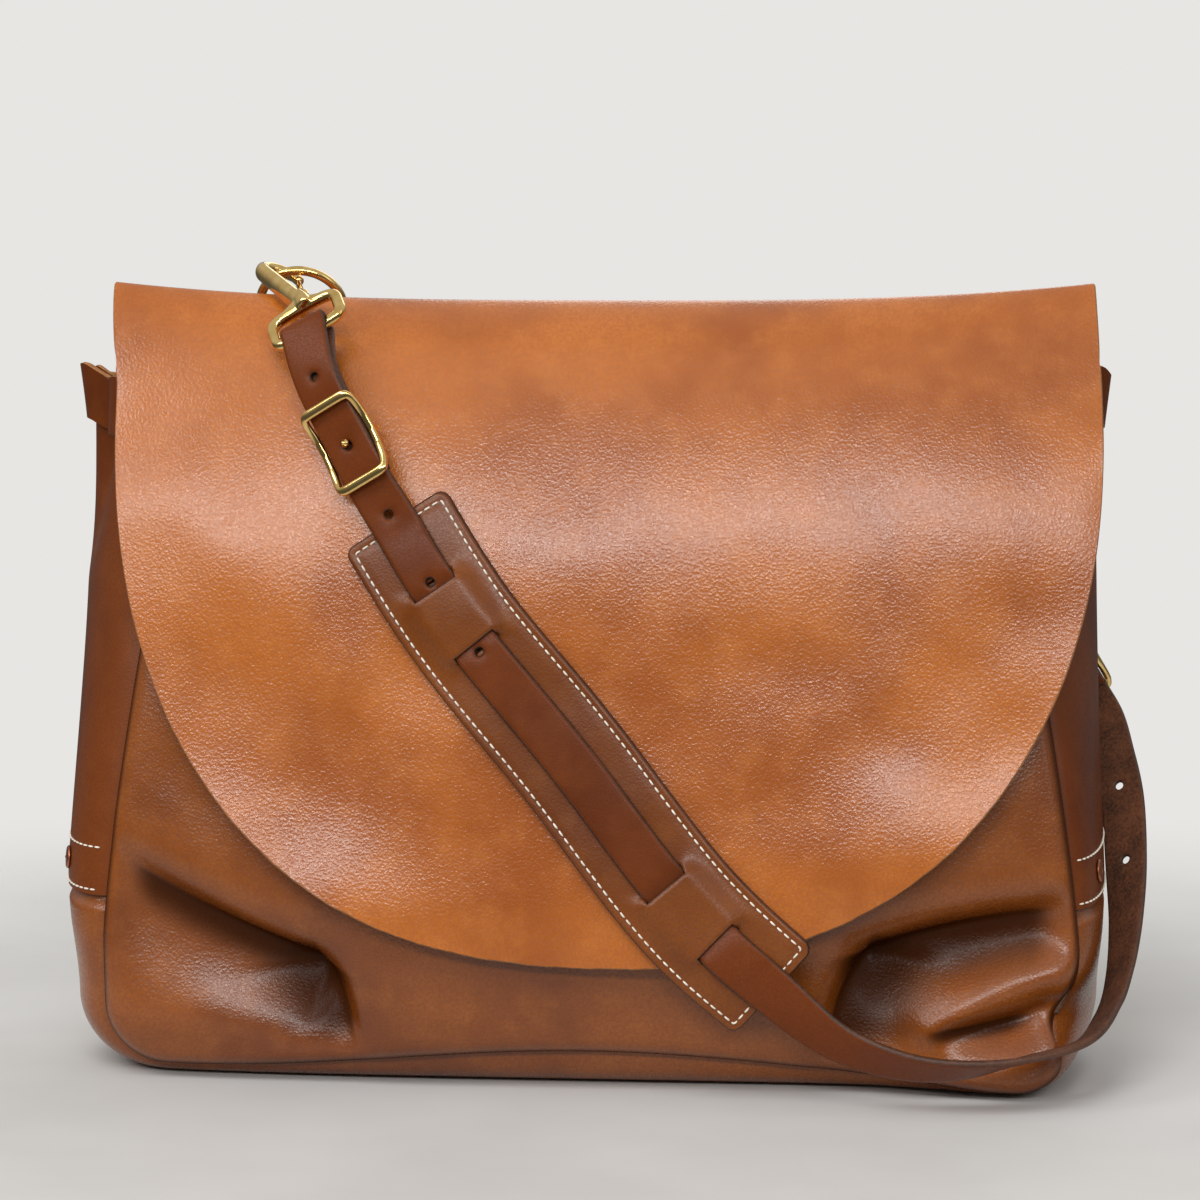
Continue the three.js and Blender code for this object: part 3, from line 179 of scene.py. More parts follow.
def connect(shade, principled, **links):
    """Feeds shader sockets, named in words joined by underscores."""
    for key, value in links.items():
        shade.tree.links.new(value.socket, principled.inputs[key.replace("_", " ")])


print("shader helper ready")

# %% [markdown]
# ## The room
# A pale room: bright above, dim towards the floor, so that folds and polished brass keep their
# darks. The camera itself sees a plain pale backdrop.

# %% The room
world = bpy.data.worlds.new("room")
world.use_nodes = True
bpy.context.scene.world = world
room = Shade(world.node_tree)
toward = room.node("TexCoord")
split = room.node("SeparateXYZ", None, {0: toward})
height = Shade(world.node_tree, split.socket.node.outputs[2])
sky = height.step(-0.1, 0.6).mix((0.1, 0.1, 0.1, 1), (0.55, 0.54, 0.52, 1))
seen = room.node("LightPath")
backdrop = seen.mix(sky, (0.8, 0.79, 0.77, 1))
world.node_tree.links.new(backdrop.socket, world.node_tree.nodes["Background"].inputs["Color"])
world.node_tree.nodes["Background"].inputs["Strength"].default_value = 1
print("room made")

# %% [markdown]
# ## Leather
# Full-grain leather has a pebbled skin: rounded cells about a millimetre across with fine
# valleys between, so it glitters softly where the light grazes it. Its colour drifts over a
# hand's width, the valleys are darker, and the wax on top makes it shine unevenly. Voronoi
# cells, bent by noise, give the pebbles; slow noises give the colour and the shine. Where a mesh
# carries a crease value, in deep folds and along seams, shade is painted in: the skin darkens and
# goes over into a dark tone without shine.


# %% Leather
# Colour of the painted shade in deep folds and along the front's seams.
PAINTED_SHADE_TONE = colour(52, 24, 8)


def leather(name, tone, pale, deep, grain, relief, shine, wax, gleam):
    """Skin side of leather.

    tone, pale and deep are its screen colours, grain the number of pebbles in a metre, relief the
    strength of their bump, shine the middle roughness, wax the coat and gleam the mirror level.
    """
    made, s, principled = finish(name)
    tone, pale, deep = colour(*tone), colour(*pale), colour(*deep)
    place = s.node("TexCoord", None, None, 3)
    drift = s.node("TexNoise", None, {"Vector": place, "Scale": 11, "Detail": 3, "Roughness": 0.55})
    mottle = s.node("TexNoise", None, {"Vector": place, "Scale": 70, "Detail": 4, "Roughness": 0.6})
    fine = s.node("TexNoise", None, {"Vector": place, "Scale": 2.2 * grain, "Detail": 2})
    sway = s.node("TexNoise", None, {"Vector": place, "Scale": 0.6 * grain, "Detail": 2}, 1)
    bend = s.node("VectorMath", {"operation": "MULTIPLY_ADD"}, {0: sway, 1: (0.0009,) * 3, 2: place})
    cells = s.node("TexVoronoi", {"feature": "F1"}, {"Vector": bend, "Scale": grain})
    small = s.node("TexVoronoi", {"feature": "F1"}, {"Vector": bend, "Scale": 2.1 * grain})
    pebble = 1 - cells.step(0.1, 0.85)
    crumb = 1 - small.step(0.1, 0.9)
    wrinkle = s.node("TexNoise", None, {"Vector": place, "Scale": 1.1 * grain, "Detail": 1})
    surface = pebble * 0.32 + crumb * 0.06 + fine * 0.04 + wrinkle * 0.65
    # Painted shade: the mesh's crease value darkens the colour towards the shade tone.
    crease_shade = s.node("Attribute", {"attribute_name": "crease_shade"}, None, 2)
    body = drift.step(0.36, 0.64).mix(deep, tone)
    body = (mottle.step(0.42, 0.8) * 0.4).mix(body, pale)
    body = (crease_shade.step(0.15, 0.9) * 0.7).mix(body, PAINTED_SHADE_TONE)
    body = ((1 - pebble) * 0.45).mix(body, deep)
    gloss = shine + (drift - 0.5) * 0.16 + (mottle - 0.5) * 0.12 + (1 - pebble) * 0.12
    bumped = s.node("Bump", None, {"Strength": relief, "Distance": 0.35 / grain, "Height": surface})
    connect(s, principled, Base_Color=body, Roughness=gloss, Normal=bumped)
    principled.inputs["Coat Weight"].default_value = wax
    principled.inputs["Coat Roughness"].default_value = 0.2
    principled.inputs["IOR"].default_value = 1.55
    principled.inputs["Specular IOR Level"].default_value = gleam
    # Painted shade: deep in the folds the shiny skin gives way to a dull dark diffuse, as if no light got
    # in.
    unlit = s.node("BsdfDiffuse", None, {"Color": PAINTED_SHADE_TONE})
    skin = Shade(s.tree, principled.outputs[0])
    folded = s.node("MixShader", None, {0: crease_shade.step(0.22, 0.85) * 0.88, 1: skin, 2: unlit})
    s.tree.links.new(folded.socket, s.tree.nodes["Material Output"].inputs["Surface"])
    return made


SKINS = [
    # name, tone, pale, deep, grain, relief, shine, wax, gleam
    ("caramel_leather", (183, 103, 36), (199, 121, 51), (150, 77, 23), 780, 0.42, 0.18, 0.2, 0.5),
    # The belly leather is the caramel leather made darker: partly its own tone, partly painted shade for the
    # front under the flap and for the base.
    ("shaded_belly_leather", (138, 73, 21), (158, 91, 33), (107, 51, 11), 780, 0.42, 0.22, 0.15, 0.45),
    ("chestnut_leather", (118, 58, 17), (131, 70, 25), (94, 42, 11), 1000, 0.2, 0.28, 0.05, 0.25),
    ("strap_leather", (110, 52, 17), (124, 64, 24), (88, 39, 11), 1100, 0.14, 0.3, 0.0, 0.15),
    ("pad_leather", (124, 65, 17), (140, 80, 27), (98, 47, 11), 900, 0.22, 0.28, 0.06, 0.28),
]
CARAMEL, SHADED_BELLY_SKIN, CHESTNUT, STRAP_SKIN, PAD_SKIN = (leather(*row) for row in SKINS)
print("skins made")

# %% [markdown]
# ## Flesh side and cut edges
# The inside of leather is suede: matt, fibrous and paler. A raw cut edge shows the pale core,
# and a burnished edge is rubbed dark and smooth.


# %% Flesh side and cut edges
def suede(name, tone, deep, relief=0.5, rough=0.92):
    """Fibrous leather: two noises of colour under a rough bump."""
    made, s, principled = finish(name)
    place = s.node("TexCoord", None, None, 3)
    nap = s.node("TexNoise", None, {"Vector": place, "Scale": 700, "Detail": 5, "Roughness": 0.7})
    patch = s.node("TexNoise", None, {"Vector": place, "Scale": 60, "Detail": 3})
    body = (nap * 0.6 + patch * 0.4).step(0.3, 0.7).mix(deep, tone)
    bumped = s.node("Bump", None, {"Strength": relief, "Distance": 0.0006, "Height": nap})
    connect(s, principled, Base_Color=body, Normal=bumped)
    principled.inputs["Roughness"].default_value = rough
    return made


FLESH = suede("flesh_side", colour(150, 104, 68), colour(112, 72, 44))
STRAP_FLESH = suede("strap_flesh_side", colour(118, 70, 42), colour(40, 22, 14), 0.8)
RAW_EDGE = suede("raw_edge", colour(190, 136, 88), colour(134, 84, 48), 0.4)
DARK_EDGE = suede("burnished_edge", colour(92, 54, 34), colour(46, 26, 17), 0.25, 0.5)
print("edges made")

# %% [markdown]
# ## Metal and thread
# Polished brass is a warm mirror with a few soft scuffs; the rivets are duller copper. The
# thread is waxed white linen.


# %% Metal and thread
def metal(name, tone, deep, low, high):
    """Metal whose roughness runs from low to high in soft patches."""
    made, s, principled = finish(name)
    place = s.node("TexCoord", None, None, 3)
    patch = s.node("TexNoise", None, {"Vector": place, "Scale": 160, "Detail": 4, "Roughness": 0.6})
    scuff = s.node("TexNoise", None, {"Vector": place, "Scale": 1500, "Detail": 2})
    body = patch.step(0.35, 0.75).mix(tone, deep)
    gloss = low + (high - low) * patch.step(0.3, 0.8)
    bumped = s.node("Bump", None, {"Strength": 0.03, "Distance": 0.0004, "Height": scuff})
    connect(s, principled, Base_Color=body, Roughness=gloss, Normal=bumped)
    principled.inputs["Metallic"].default_value = 1
    return made


BRASS = metal("polished_brass", colour(242, 208, 136), colour(220, 180, 106), 0.07, 0.2)
COPPER = metal("dull_copper", colour(186, 122, 92), colour(140, 84, 60), 0.3, 0.5)
THREAD = suede("waxed_thread", colour(244, 238, 226), colour(214, 202, 184), 0.3, 0.7)
print("metal and thread made")

# %% [markdown]
# ## Meshes from arrays
# Every leather piece is a closed wall between two grids of points, its skin and its flesh side.
# The border gets a rounded strip, so that a cut edge catches the light. Sizes are worked out in
# millimetres and turned into metres when the mesh is made.

# %% Meshes from arrays
MM = 0.001
SKIN, EDGE, INSIDE = 0, 1, 2
SIDES = ("left", "right")
ALONG_X = np.array([1.0, 0, 0])


def unit(vectors):
    """Vectors of length 1 in the same directions."""
    return vectors / np.maximum(np.linalg.norm(vectors, axis=-1, keepdims=True), 1e-9)


def grid_normals(points):
    """Unit normals of a grid: the cross product of its row and column steps."""
    return unit(np.cross(np.gradient(points, axis=0), np.gradient(points, axis=1)))


def put(name, points, faces, slots, finishes, nodes=(), body="bag", crease_shade=None, sharp=None):
    """Makes the mesh object of a piece and ties it to the frame.

    Points are in millimetres and faces are quads; vertices that no face uses are dropped and
    doubles are merged.
    """
    used, flat = np.unique(faces, return_inverse=True)
    mesh = bpy.data.meshes.new(name)
    mesh.vertices.add(len(used))
    mesh.vertices.foreach_set("co", (points[used] * MM).ravel())
    mesh.loops.add(flat.size)
    mesh.loops.foreach_set("vertex_index", flat.ravel())
    mesh.polygons.add(len(faces))
    mesh.polygons.foreach_set("loop_start", np.arange(0, flat.size, 4))
    mesh.polygons.foreach_set("material_index", np.asarray(slots, np.int32))
    mesh.update(calc_edges=True)
    # The crease value is painted shade for folds and seams; the leather finish reads it.
    if crease_shade is not None:
        mesh.attributes.new("crease_shade", "FLOAT", "POINT").data.foreach_set("value", crease_shade.ravel()[used])
    weld = bmesh.new()
    weld.from_mesh(mesh)
    bmesh.ops.remove_doubles(weld, verts=weld.verts, dist=1e-6)
    weld.to_mesh(mesh)
    weld.free()
    mesh.polygons.foreach_set("use_smooth", np.ones(len(mesh.polygons), bool))
    if sharp is not None:
        mesh.set_sharp_from_angle(angle=np.radians(sharp))
    for made in finishes:
        mesh.materials.append(made)
    piece = bpy.data.objects.new(name, mesh)
    bpy.context.scene.collection.objects.link(piece)
    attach(piece, body)
    if nodes:
        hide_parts(*nodes)
    print(name, "faces", len(faces))
    return piece


def wall(outer, inner, keep=None, round_edge=0.2):
    """Points, faces and material slots of a closed wall.

    Outer and inner are grids of the same shape. Cells outside the keep mask are left open, and
    every open border gets two strips whose shared middle line stands out by round_edge times
    the wall's thickness.
    """
    rows, columns = outer.shape[:2]
    keep = np.ones((rows - 1, columns - 1), bool) if keep is None else keep
    if np.sum(grid_normals(outer) * (outer - inner)) < 0:
        outer, inner, keep = outer[:, ::-1], inner[:, ::-1], keep[:, ::-1]
    count = rows * columns
    index = np.arange(count).reshape(rows, columns)
    cells = np.stack([index[:-1, :-1], index[1:, :-1], index[1:, 1:], index[:-1, 1:]], -1)
    ring = np.pad(keep, 1)
    beside = [ring[1:-1, :-2], ring[2:, 1:-1], ring[1:-1, 2:], ring[:-2, 1:-1]]
    start = np.concatenate([cells[keep & ~b][:, k] for k, b in enumerate(beside)])
    end = np.concatenate([cells[keep & ~b][:, (k + 1) % 4] for k, b in enumerate(beside)])
    flat_outer, flat_inner = outer.reshape(-1, 3), inner.reshape(-1, 3)
    outward = np.zeros((count, 3))
    normals = unit(flat_outer - flat_inner)
    push = np.cross(flat_outer[end] - flat_outer[start], normals[start])
    np.add.at(outward, start, push)
    np.add.at(outward, end, push)
    thick = np.linalg.norm(flat_outer - flat_inner, axis=1, keepdims=True)
    middle = (flat_outer + flat_inner) / 2 + unit(outward) * thick * round_edge
    points = np.concatenate([flat_outer, flat_inner, middle])
    kept = cells[keep]
    near = np.stack([end, start, start + 2 * count, end + 2 * count], 1)
    far = np.stack([end + 2 * count, start + 2 * count, start + count, end + count], 1)
    faces = np.concatenate([kept, kept[:, ::-1] + count, near, far])
    slots = np.repeat([SKIN, INSIDE, EDGE], [len(kept), len(kept), 2 * len(start)])
    return points, faces, slots


print("mesh helpers ready")

# %% [markdown]
# ## Small maths
# Tables of a few rows carry the shapes, and smooth curves run through them.


# %% Small maths
def smoothstep(value, low, high):
    """0 below low, 1 above high, with a cubic between."""
    t = np.clip((value - low) / (high - low), 0, 1)
    return t * t * (3 - 2 * t)


def bump(offset, width):
    """Bell curve: 1 at 0, falling off over the width."""
    return np.exp(-((offset / width) ** 2))


def power(value, exponent):
    """Power that keeps the sign of its base."""
    return np.sign(value) * np.abs(value) ** exponent


def curve(rows, at):
    """Cubic curve through rows of (key, value), each slope taken from the two neighbours."""
    keys, values = np.array(rows, float).T
    last = len(keys) - 1
    here = np.arange(last + 1)
    ahead, behind = np.minimum(here + 1, last), np.maximum(here - 1, 0)
    slopes = (values[ahead] - values[behind]) / (keys[ahead] - keys[behind])
    at = np.clip(at, keys[0], keys[-1])
    i = np.clip(np.searchsorted(keys, at, side="right") - 1, 0, last - 1)
    span = keys[i + 1] - keys[i]
    s = (at - keys[i]) / span
    ease = s * s * (3 - 2 * s)
    lean = span * s * (1 - s) * (slopes[i] * (1 - s) - slopes[i + 1] * s)
    return values[i] * (1 - ease) + values[i + 1] * ease + lean


def through(points, t):
    """Smooth curve through a list of vectors, t from 0 to 1 over all of them."""
    last = len(points) - 1
    i = np.clip((t * last).astype(int), 0, last - 1)
    s = (t * last - i)[:, None]
    a, b, c, d = (points[np.clip(i + k, 0, last)] for k in (-1, 0, 1, 2))
    square = 2 * a - 5 * b + 4 * c - d
    cube = d - a + 3 * b - 3 * c
    return 0.5 * (2 * b + (c - a) * s + square * s**2 + cube * s**3)


def run_along(path):
    """Distance along a path at each of its points."""
    return np.concatenate([[0], np.cumsum(np.linalg.norm(np.diff(path, axis=0), axis=1))])


def swells(x, z, size, seed):
    """Random soft swells from -1 to 1: random heights on a square lattice, joined by smooth steps."""
    heights = np.random.default_rng(seed).uniform(-1, 1, (64, 64))
    u, v = x / size + 32, z / size + 16
    i, j = np.floor(u).astype(int), np.floor(v).astype(int)
    s, t = smoothstep(u - i, 0, 1), smoothstep(v - j, 0, 1)
    near = heights[i % 64, j % 64] * (1 - s) + heights[(i + 1) % 64, j % 64] * s
    far = heights[i % 64, (j + 1) % 64] * (1 - s) + heights[(i + 1) % 64, (j + 1) % 64] * s
    return near * (1 - t) + far * t


def ripple(x, z):
    """Soft unevenness of a big piece of leather, up to about 3 mm: two turned layers of swells."""
    return 2.2 * swells(0.9 * x + 0.4 * z, 0.9 * z - 0.4 * x, 50, 4) + 0.7 * swells(x, z, 25, 7)


print("maths ready")

# %% [markdown]
# ## The body's shape
# From the side the belly stands out most a third of the way up and falls back to the mouth.
# The side seams lean in towards the top. These few functions say where the leather is, and
# every later piece is laid on them.

# %% The body's shape
HIDE, GAP = 2.2, 0.3
SEAM_ROLL, SEAM_TUCK, SEAM_HEIGHT = 7, 2.6, 5
FRONT_CORNER, BACK_CORNER = 27, 29
MOUTH_Z, FOLD_Z, BACK_SEAM_TOP = 286, 296, 292
BACK_HALF = 208
SLUMP_X, SLUMP_WIDE, SLUMP_DEEP, SLUMP_TALL = 185, 50, 18, 25
SIDE_FALL, SIDE_FALL_X = 12, 200
LIP_HALF, LIP_RISE, LIP_SAG = 175, 5.5, 3
DRAW_DEEP, DRAW_Z, DRAW_TALL = 11, 32, 13
UPRIGHT_Z = 60
RIGHT_SEAM, LEFT_SEAM = (203.5, 38), (207, 33)
BELLY = [(0, 58), (30, 67), (80, 70), (150, 62), (220, 50), (290, 36), (340, 30)]
BACK = [(0, 52), (40, 58), (120, 58), (220, 44), (296, 26)]


def sag(x):
    """Share by which the bottom right corner has slumped forward."""
    return bump(x - SLUMP_X, SLUMP_WIDE)


def belly(x, z):
    """Outer face of the front: the belly line, falling back at the sides, slumped at one corner."""
    fall = SIDE_FALL * (np.abs(x) / SIDE_FALL_X) ** 2.4
    return -curve(BELLY, z) + fall - SLUMP_DEEP * sag(x) * bump(z, SLUMP_TALL)


def back_line(z):
    """Outer face of the back."""
    return curve(BACK, z)


FLAP_HALF, FLAP_SHIFT, FLAP_TIP_Z, FLAP_TOP_Z, FLAP_ROUND = 206, 5.5, 56.4, 280, 2.3
FLAP_OFF, FLARE, LEAN, LEAN_Z = 6.5, 4.0, 0.005, 265
SWELLS = [
    # x, z, half width, half height, rise: soft bulges of the hanging flap
    (0, 222, 400, 46, 4.0), (-180, 250, 60, 40, 0.6), (40, 235, 60, 35, 0.8), (150, 245, 50, 40, 0.6),
    (150, 105, 50, 30, 3.0), (-115, 80, 50, 28, 3.2),
]


def flap_reach(x, z):
    """Super-elliptic distance from the middle of the flap's top, 1 at its free edge."""
    across, down = np.abs((x - FLAP_SHIFT) / FLAP_HALF), (FLAP_TOP_Z - z) / (FLAP_TOP_Z - FLAP_TIP_Z)
    return (across**FLAP_ROUND + np.maximum(down, 0) ** FLAP_ROUND) ** (1 / FLAP_ROUND)


def flap_face(x, z):
    """Outer face of the flap: a little in front of the belly, uneven, flared out at its free edge.

    Towards the top fold it leans back ever more, as a parabola.
    """
    swollen = sum(rise * bump(np.hypot((x - at_x) / wide, (z - at_z) / high), 1)
                  for at_x, at_z, wide, high, rise in SWELLS)
    flare = FLARE * np.clip((flap_reach(x, z) - 0.72) / 0.28, 0, 1) ** 2 * smoothstep(z, 260, 170)
    back = LEAN * np.maximum(z - LEAN_Z, 0) ** 2
    return belly(x, z) - FLAP_OFF - (0.9 * ripple(x, z) + swollen) * smoothstep(z, 308, 262) - flare + back


def lip_lift(x):
    """Height of the front bottom seam over its usual height, raised under the belly."""
    arch = np.where(np.abs(x) < LIP_HALF, LIP_RISE * (1 + np.cos(np.pi * x / LIP_HALF)), 0)
    return arch - LIP_SAG * sag(x)


def draw_in(z, right):
    """The right seam is pulled in just above its bottom corner."""
    return np.where(right, DRAW_DEEP * bump(z - DRAW_Z, DRAW_TALL), 0)


def front_line(z, right):
    """Distance of a front side seam from the middle: upright low down, leaning in ever more above."""
    up = np.maximum(0, (z - UPRIGHT_Z) / (MOUTH_Z - UPRIGHT_Z)) ** 1.25
    leaning = np.where(right, RIGHT_SEAM[0] - RIGHT_SEAM[1] * up, LEFT_SEAM[0] - LEFT_SEAM[1] * up)
    return leaning - draw_in(z, right)


def seam_distance(x, z, half, corner, bottom):
    """Distance from a point of a panel to its sewn outline with round bottom corners."""
    across = np.abs(x) - (half - corner)
    down = bottom + corner - z
    straight = np.minimum(half - np.abs(x), z - bottom)
    return np.where((across > 0) & (down > 0), corner - np.hypot(across, down), straight)


def seam_turn(distance):
    """How far a panel turns back near its seam: a quarter circle."""
    t = np.clip(1 - np.maximum(distance, 0) / SEAM_ROLL, 0, 1)
    return SEAM_ROLL * (1 - np.sqrt(1 - t * t))


print("belly at mid height", round(float(belly(np.array(0.0), np.array(150.0))), 1))

# %% [markdown]
# ## Front panel
# The belly has slumped over the base, so the front carries deep folds: one runs in from the
# left seam and turns down to the base, and the right corner has more, with a ridge between.
# Each fold is a line with a bow. It presses the leather back, gently below the line and steeply
# above it, and the roll above hangs over the line. Below the line each fold also paints shade:
# the leather there is darkened, as the overhang would shade it.

# %% Front panel
FOLDS = [
    # x0, z0, x1, z1, bow, depth, above, below, start, end, roll, width of the painted shade below it
    (-206, 99, -110, 54, -3, 23, 9, 34, 0.25, 1.0, 7.0, 16),
    (-110, 54, -100, 12, 3, 21, 8, 40, 1.0, 0.25, 6.0, 34),
    (100, 12, 114, 61, 4, 22, 8, 36, 0.3, 1.0, 6.0, 36),
    (114, 61, 194, 78, 3, 22, 9, 27, 1.0, 0.45, 7.0, 24),
    (149, 28, 195, 38, -1, 13, 6, 9, 0.5, 0.9, 3.5, 6),
]
RIDGES = [
    (142, 30, 193, 53, 3.5, 8, 9, 8, 0.7, 1.0, 0, 1),
    (-190, 26, -116, 24, 0, 4, 16, 12, 0.6, 0.8, 0, 1),
]
SOFTEN_PASSES = 24


def fold(x, z, row):
    """One fold at panel points: its depth, how far it shifts them along x and z, and its painted shade.

    The offset from the bowed line, measured upwards, goes through a bell that is narrow above
    the line and wide below it; past the ends it fades. The painted shade, a darkening of the
    colour below the line, is a bell of the same offset.
    """
    x0, z0, x1, z1, bow, depth, above, below, start, end, roll, shade = row
    dx, dz = x1 - x0, z1 - z0
    length = np.hypot(dx, dz)
    along = ((x - x0) * dx + (z - z0) * dz) / length**2
    t = np.clip(along, 0, 1)
    offset = np.sign(dx) * ((z - z0) * dx - (x - x0) * dz) / length - bow * 4 * t * (1 - t)
    past = np.maximum(0, np.maximum(-along, along - 1)) * length
    strength = (start + (end - start) * t) * bump(past, above)
    pressed = depth * strength * bump(offset, np.where(offset > 0, above, below))
    hang = roll * strength * bump(offset - 1.1 * above, 0.9 * above)
    down = np.sign(dx) / length
    # Painted shade: a dark band below the fold line, where the overhang shades the leather.
    painted_shade = strength**0.3 * bump(offset, np.where(offset > 0, 0.5 * above, shade))
    return pressed, hang * dz * down, -hang * dx * down, painted_shade


def sewn_distance(x, z):
    """Distance of a front panel point to its sewn outline."""
    return seam_distance(x, z - lip_lift(x), front_line(z, x > 0), FRONT_CORNER, SEAM_HEIGHT)


def front_surface(columns, rows):
    """Skin of the front panel over a grid: columns from -1 to 1, rows from 0 to 1 upwards.

    Each row spans the panel between its seams; folds press it back and shift it, and the
    border turns in. Where folds meet, their depths join as the fourth root of summed fourth
    powers, which is smooth and close to the deeper one.
    """
    row, column = np.meshgrid(rows, columns, indexing="ij")
    height = SEAM_HEIGHT + (MOUTH_Z - SEAM_HEIGHT) * row
    down = np.clip((SEAM_HEIGHT + FRONT_CORNER - height) / FRONT_CORNER, 0, 1)
    half = front_line(height, column > 0) - FRONT_CORNER + FRONT_CORNER * np.sqrt(1 - down**2)
    x = column * half
    z = height + lip_lift(x) * (1 - row) ** 2
    distance = sewn_distance(x, z)
    ease = smoothstep(distance, 0, 22)
    found = [fold(x, z, line) for line in FOLDS]
    pressed = np.sum([f[0] ** 4 for f in found], axis=0) ** 0.25
    raised = np.sum([fold(x, z, line)[0] for line in RIDGES], axis=0)
    sunk = (pressed - raised) * smoothstep(distance, -6, 18)
    shift_x = np.sum([f[1] for f in found], axis=0) * ease
    shift_z = np.sum([f[2] for f in found], axis=0) * ease
    loose = 0.6 * ripple(1.5 * x + 40, 1.5 * z) * ease
    y = belly(x, z) + sunk + seam_turn(distance) - loose
    # Painted shade: the folds' dark bands, and a thin dark line along the seams where the leather turns in.
    crease_shade = np.maximum(np.max([f[3] for f in found], axis=0) * ease, 0.7 * bump(distance, 3))
    return np.stack([x + shift_x, y, z + shift_z], -1), crease_shade, distance


def crowded(stops, counts):
    """Places from the first stop to the last, with a count of steps for each stretch."""
    parts = [np.linspace(a, b, n + 1)[:-1] for a, b, n in zip(stops[:-1], stops[1:], counts)]
    return np.concatenate([*parts, [stops[-1]]])


def front_panel():
    """The panel as a closed wall; its grid is finest low down at both sides, where the folds are.

    There each point is also moved towards its four neighbours many times, which softens the
    places where folds meet. At the seam the flesh side ends at the seam's depth, or at the skin
    where a fold lies deeper.
    """
    columns = crowded([1, 0.43, -0.43, -1], [110, 56, 110])
    rows = crowded([0, 0.42, 1], [110, 34])
    outer, crease_shade, distance = front_surface(columns, rows)
    supple = (smoothstep(distance, 4, 14) * smoothstep(outer[..., 2], 130, 100))[1:-1, 1:-1, None]
    for _ in range(SOFTEN_PASSES):
        beside = (outer[2:, 1:-1] + outer[:-2, 1:-1] + outer[1:-1, 2:] + outer[1:-1, :-2]) / 4
        outer[1:-1, 1:-1] += 0.5 * supple * (beside - outer[1:-1, 1:-1])
    inner = outer - grid_normals(outer) * HIDE
    seam = np.maximum(belly(outer[..., 0], outer[..., 2]) + SEAM_ROLL, outer[..., 1])
    inner[..., 1] = np.where(distance < SEAM_ROLL / 2, np.minimum(inner[..., 1], seam), inner[..., 1])
    points, faces, slots = wall(outer, inner, round_edge=0.1)
    put("front_leather", points, faces, slots, (SHADED_BELLY_SKIN, DARK_EDGE, FLESH), ["front_panel"],
        crease_shade=np.tile(crease_shade.ravel(), 3), sharp=60)


front_panel()

# %% [markdown]
# ## Back, fold and flap
# One big hide climbs the back, turns over the top and hangs down the front with a round edge.
# It is one grid: across the bag, and along the hide from the bottom of the back to the flap's
# edge. The flap's outline is a super-ellipse, so each column simply ends at its own height.

# %% Back, fold and flap
ROLL_PASSES = 120


def fold_rise(x):
    """Height of the top fold: a flat crest that rises towards its two ends."""
    return 32 + 7.5 * (np.abs(x) / BACK_HALF) ** 3


def hide_point(u, t):
    """Skin of the hide: u across it from -1 to 1; t from 0 to 1 up the back, to 2 over the fold,
    to 3 down the front.

    The back follows the back line and turns in at its seam, the fold is a quarter ellipse and a
    flatter quarter super-ellipse, and the front is the flap face.
    """
    x_back, x_front = BACK_HALF * u, FLAP_SHIFT + FLAP_HALF * u
    x = x_back + (x_front - x_back) * smoothstep(t, 1.5, 2.3)
    z_back = FOLD_Z * t
    sewn = seam_distance(x, z_back, BACK_HALF, BACK_CORNER, SEAM_HEIGHT)
    free = smoothstep(z_back, BACK_SEAM_TOP - 45, FOLD_Z)
    uneven = 0.8 * ripple(x + 90, z_back) * smoothstep(sewn, 0, 40) * smoothstep(z_back, 300, 220)
    y_back = back_line(z_back) - seam_turn(sewn) * (1 - free) + uneven
    angle = np.pi * np.clip(t - 1, 0, 1)
    flatter = np.where(angle <= np.pi / 2, 1, 2 / 1.36)
    reach = np.where(angle <= np.pi / 2, back_line(FOLD_Z), -flap_face(x, np.full_like(x, FOLD_Z)))
    y_top = reach * power(np.cos(angle), flatter)
    z_top = FOLD_Z + fold_rise(x) * np.abs(np.sin(angle)) ** flatter
    z_front = FOLD_Z * (3 - t)
    y = np.select([t <= 1, t < 2], [y_back, y_top], flap_face(x, z_front))
    z = np.select([t <= 1, t < 2], [z_back, z_top], z_front)
    return np.stack([x, y, z], -1)


def hide_normals(points, t):
    """Unit normals of the hide: from its grid, but on the flap from the slopes of the flap face."""
    x, z = points[..., 0], points[..., 2]
    slope_x = (flap_face(x + 1, z) - flap_face(x - 1, z)) / 2
    slope_z = (flap_face(x, z + 1) - flap_face(x, z - 1)) / 2
    hanging = np.stack([slope_x, -np.ones_like(x), slope_z], -1)
    return unit(grid_normals(points) * (t < 2)[..., None] + unit(hanging) * (t >= 2)[..., None])


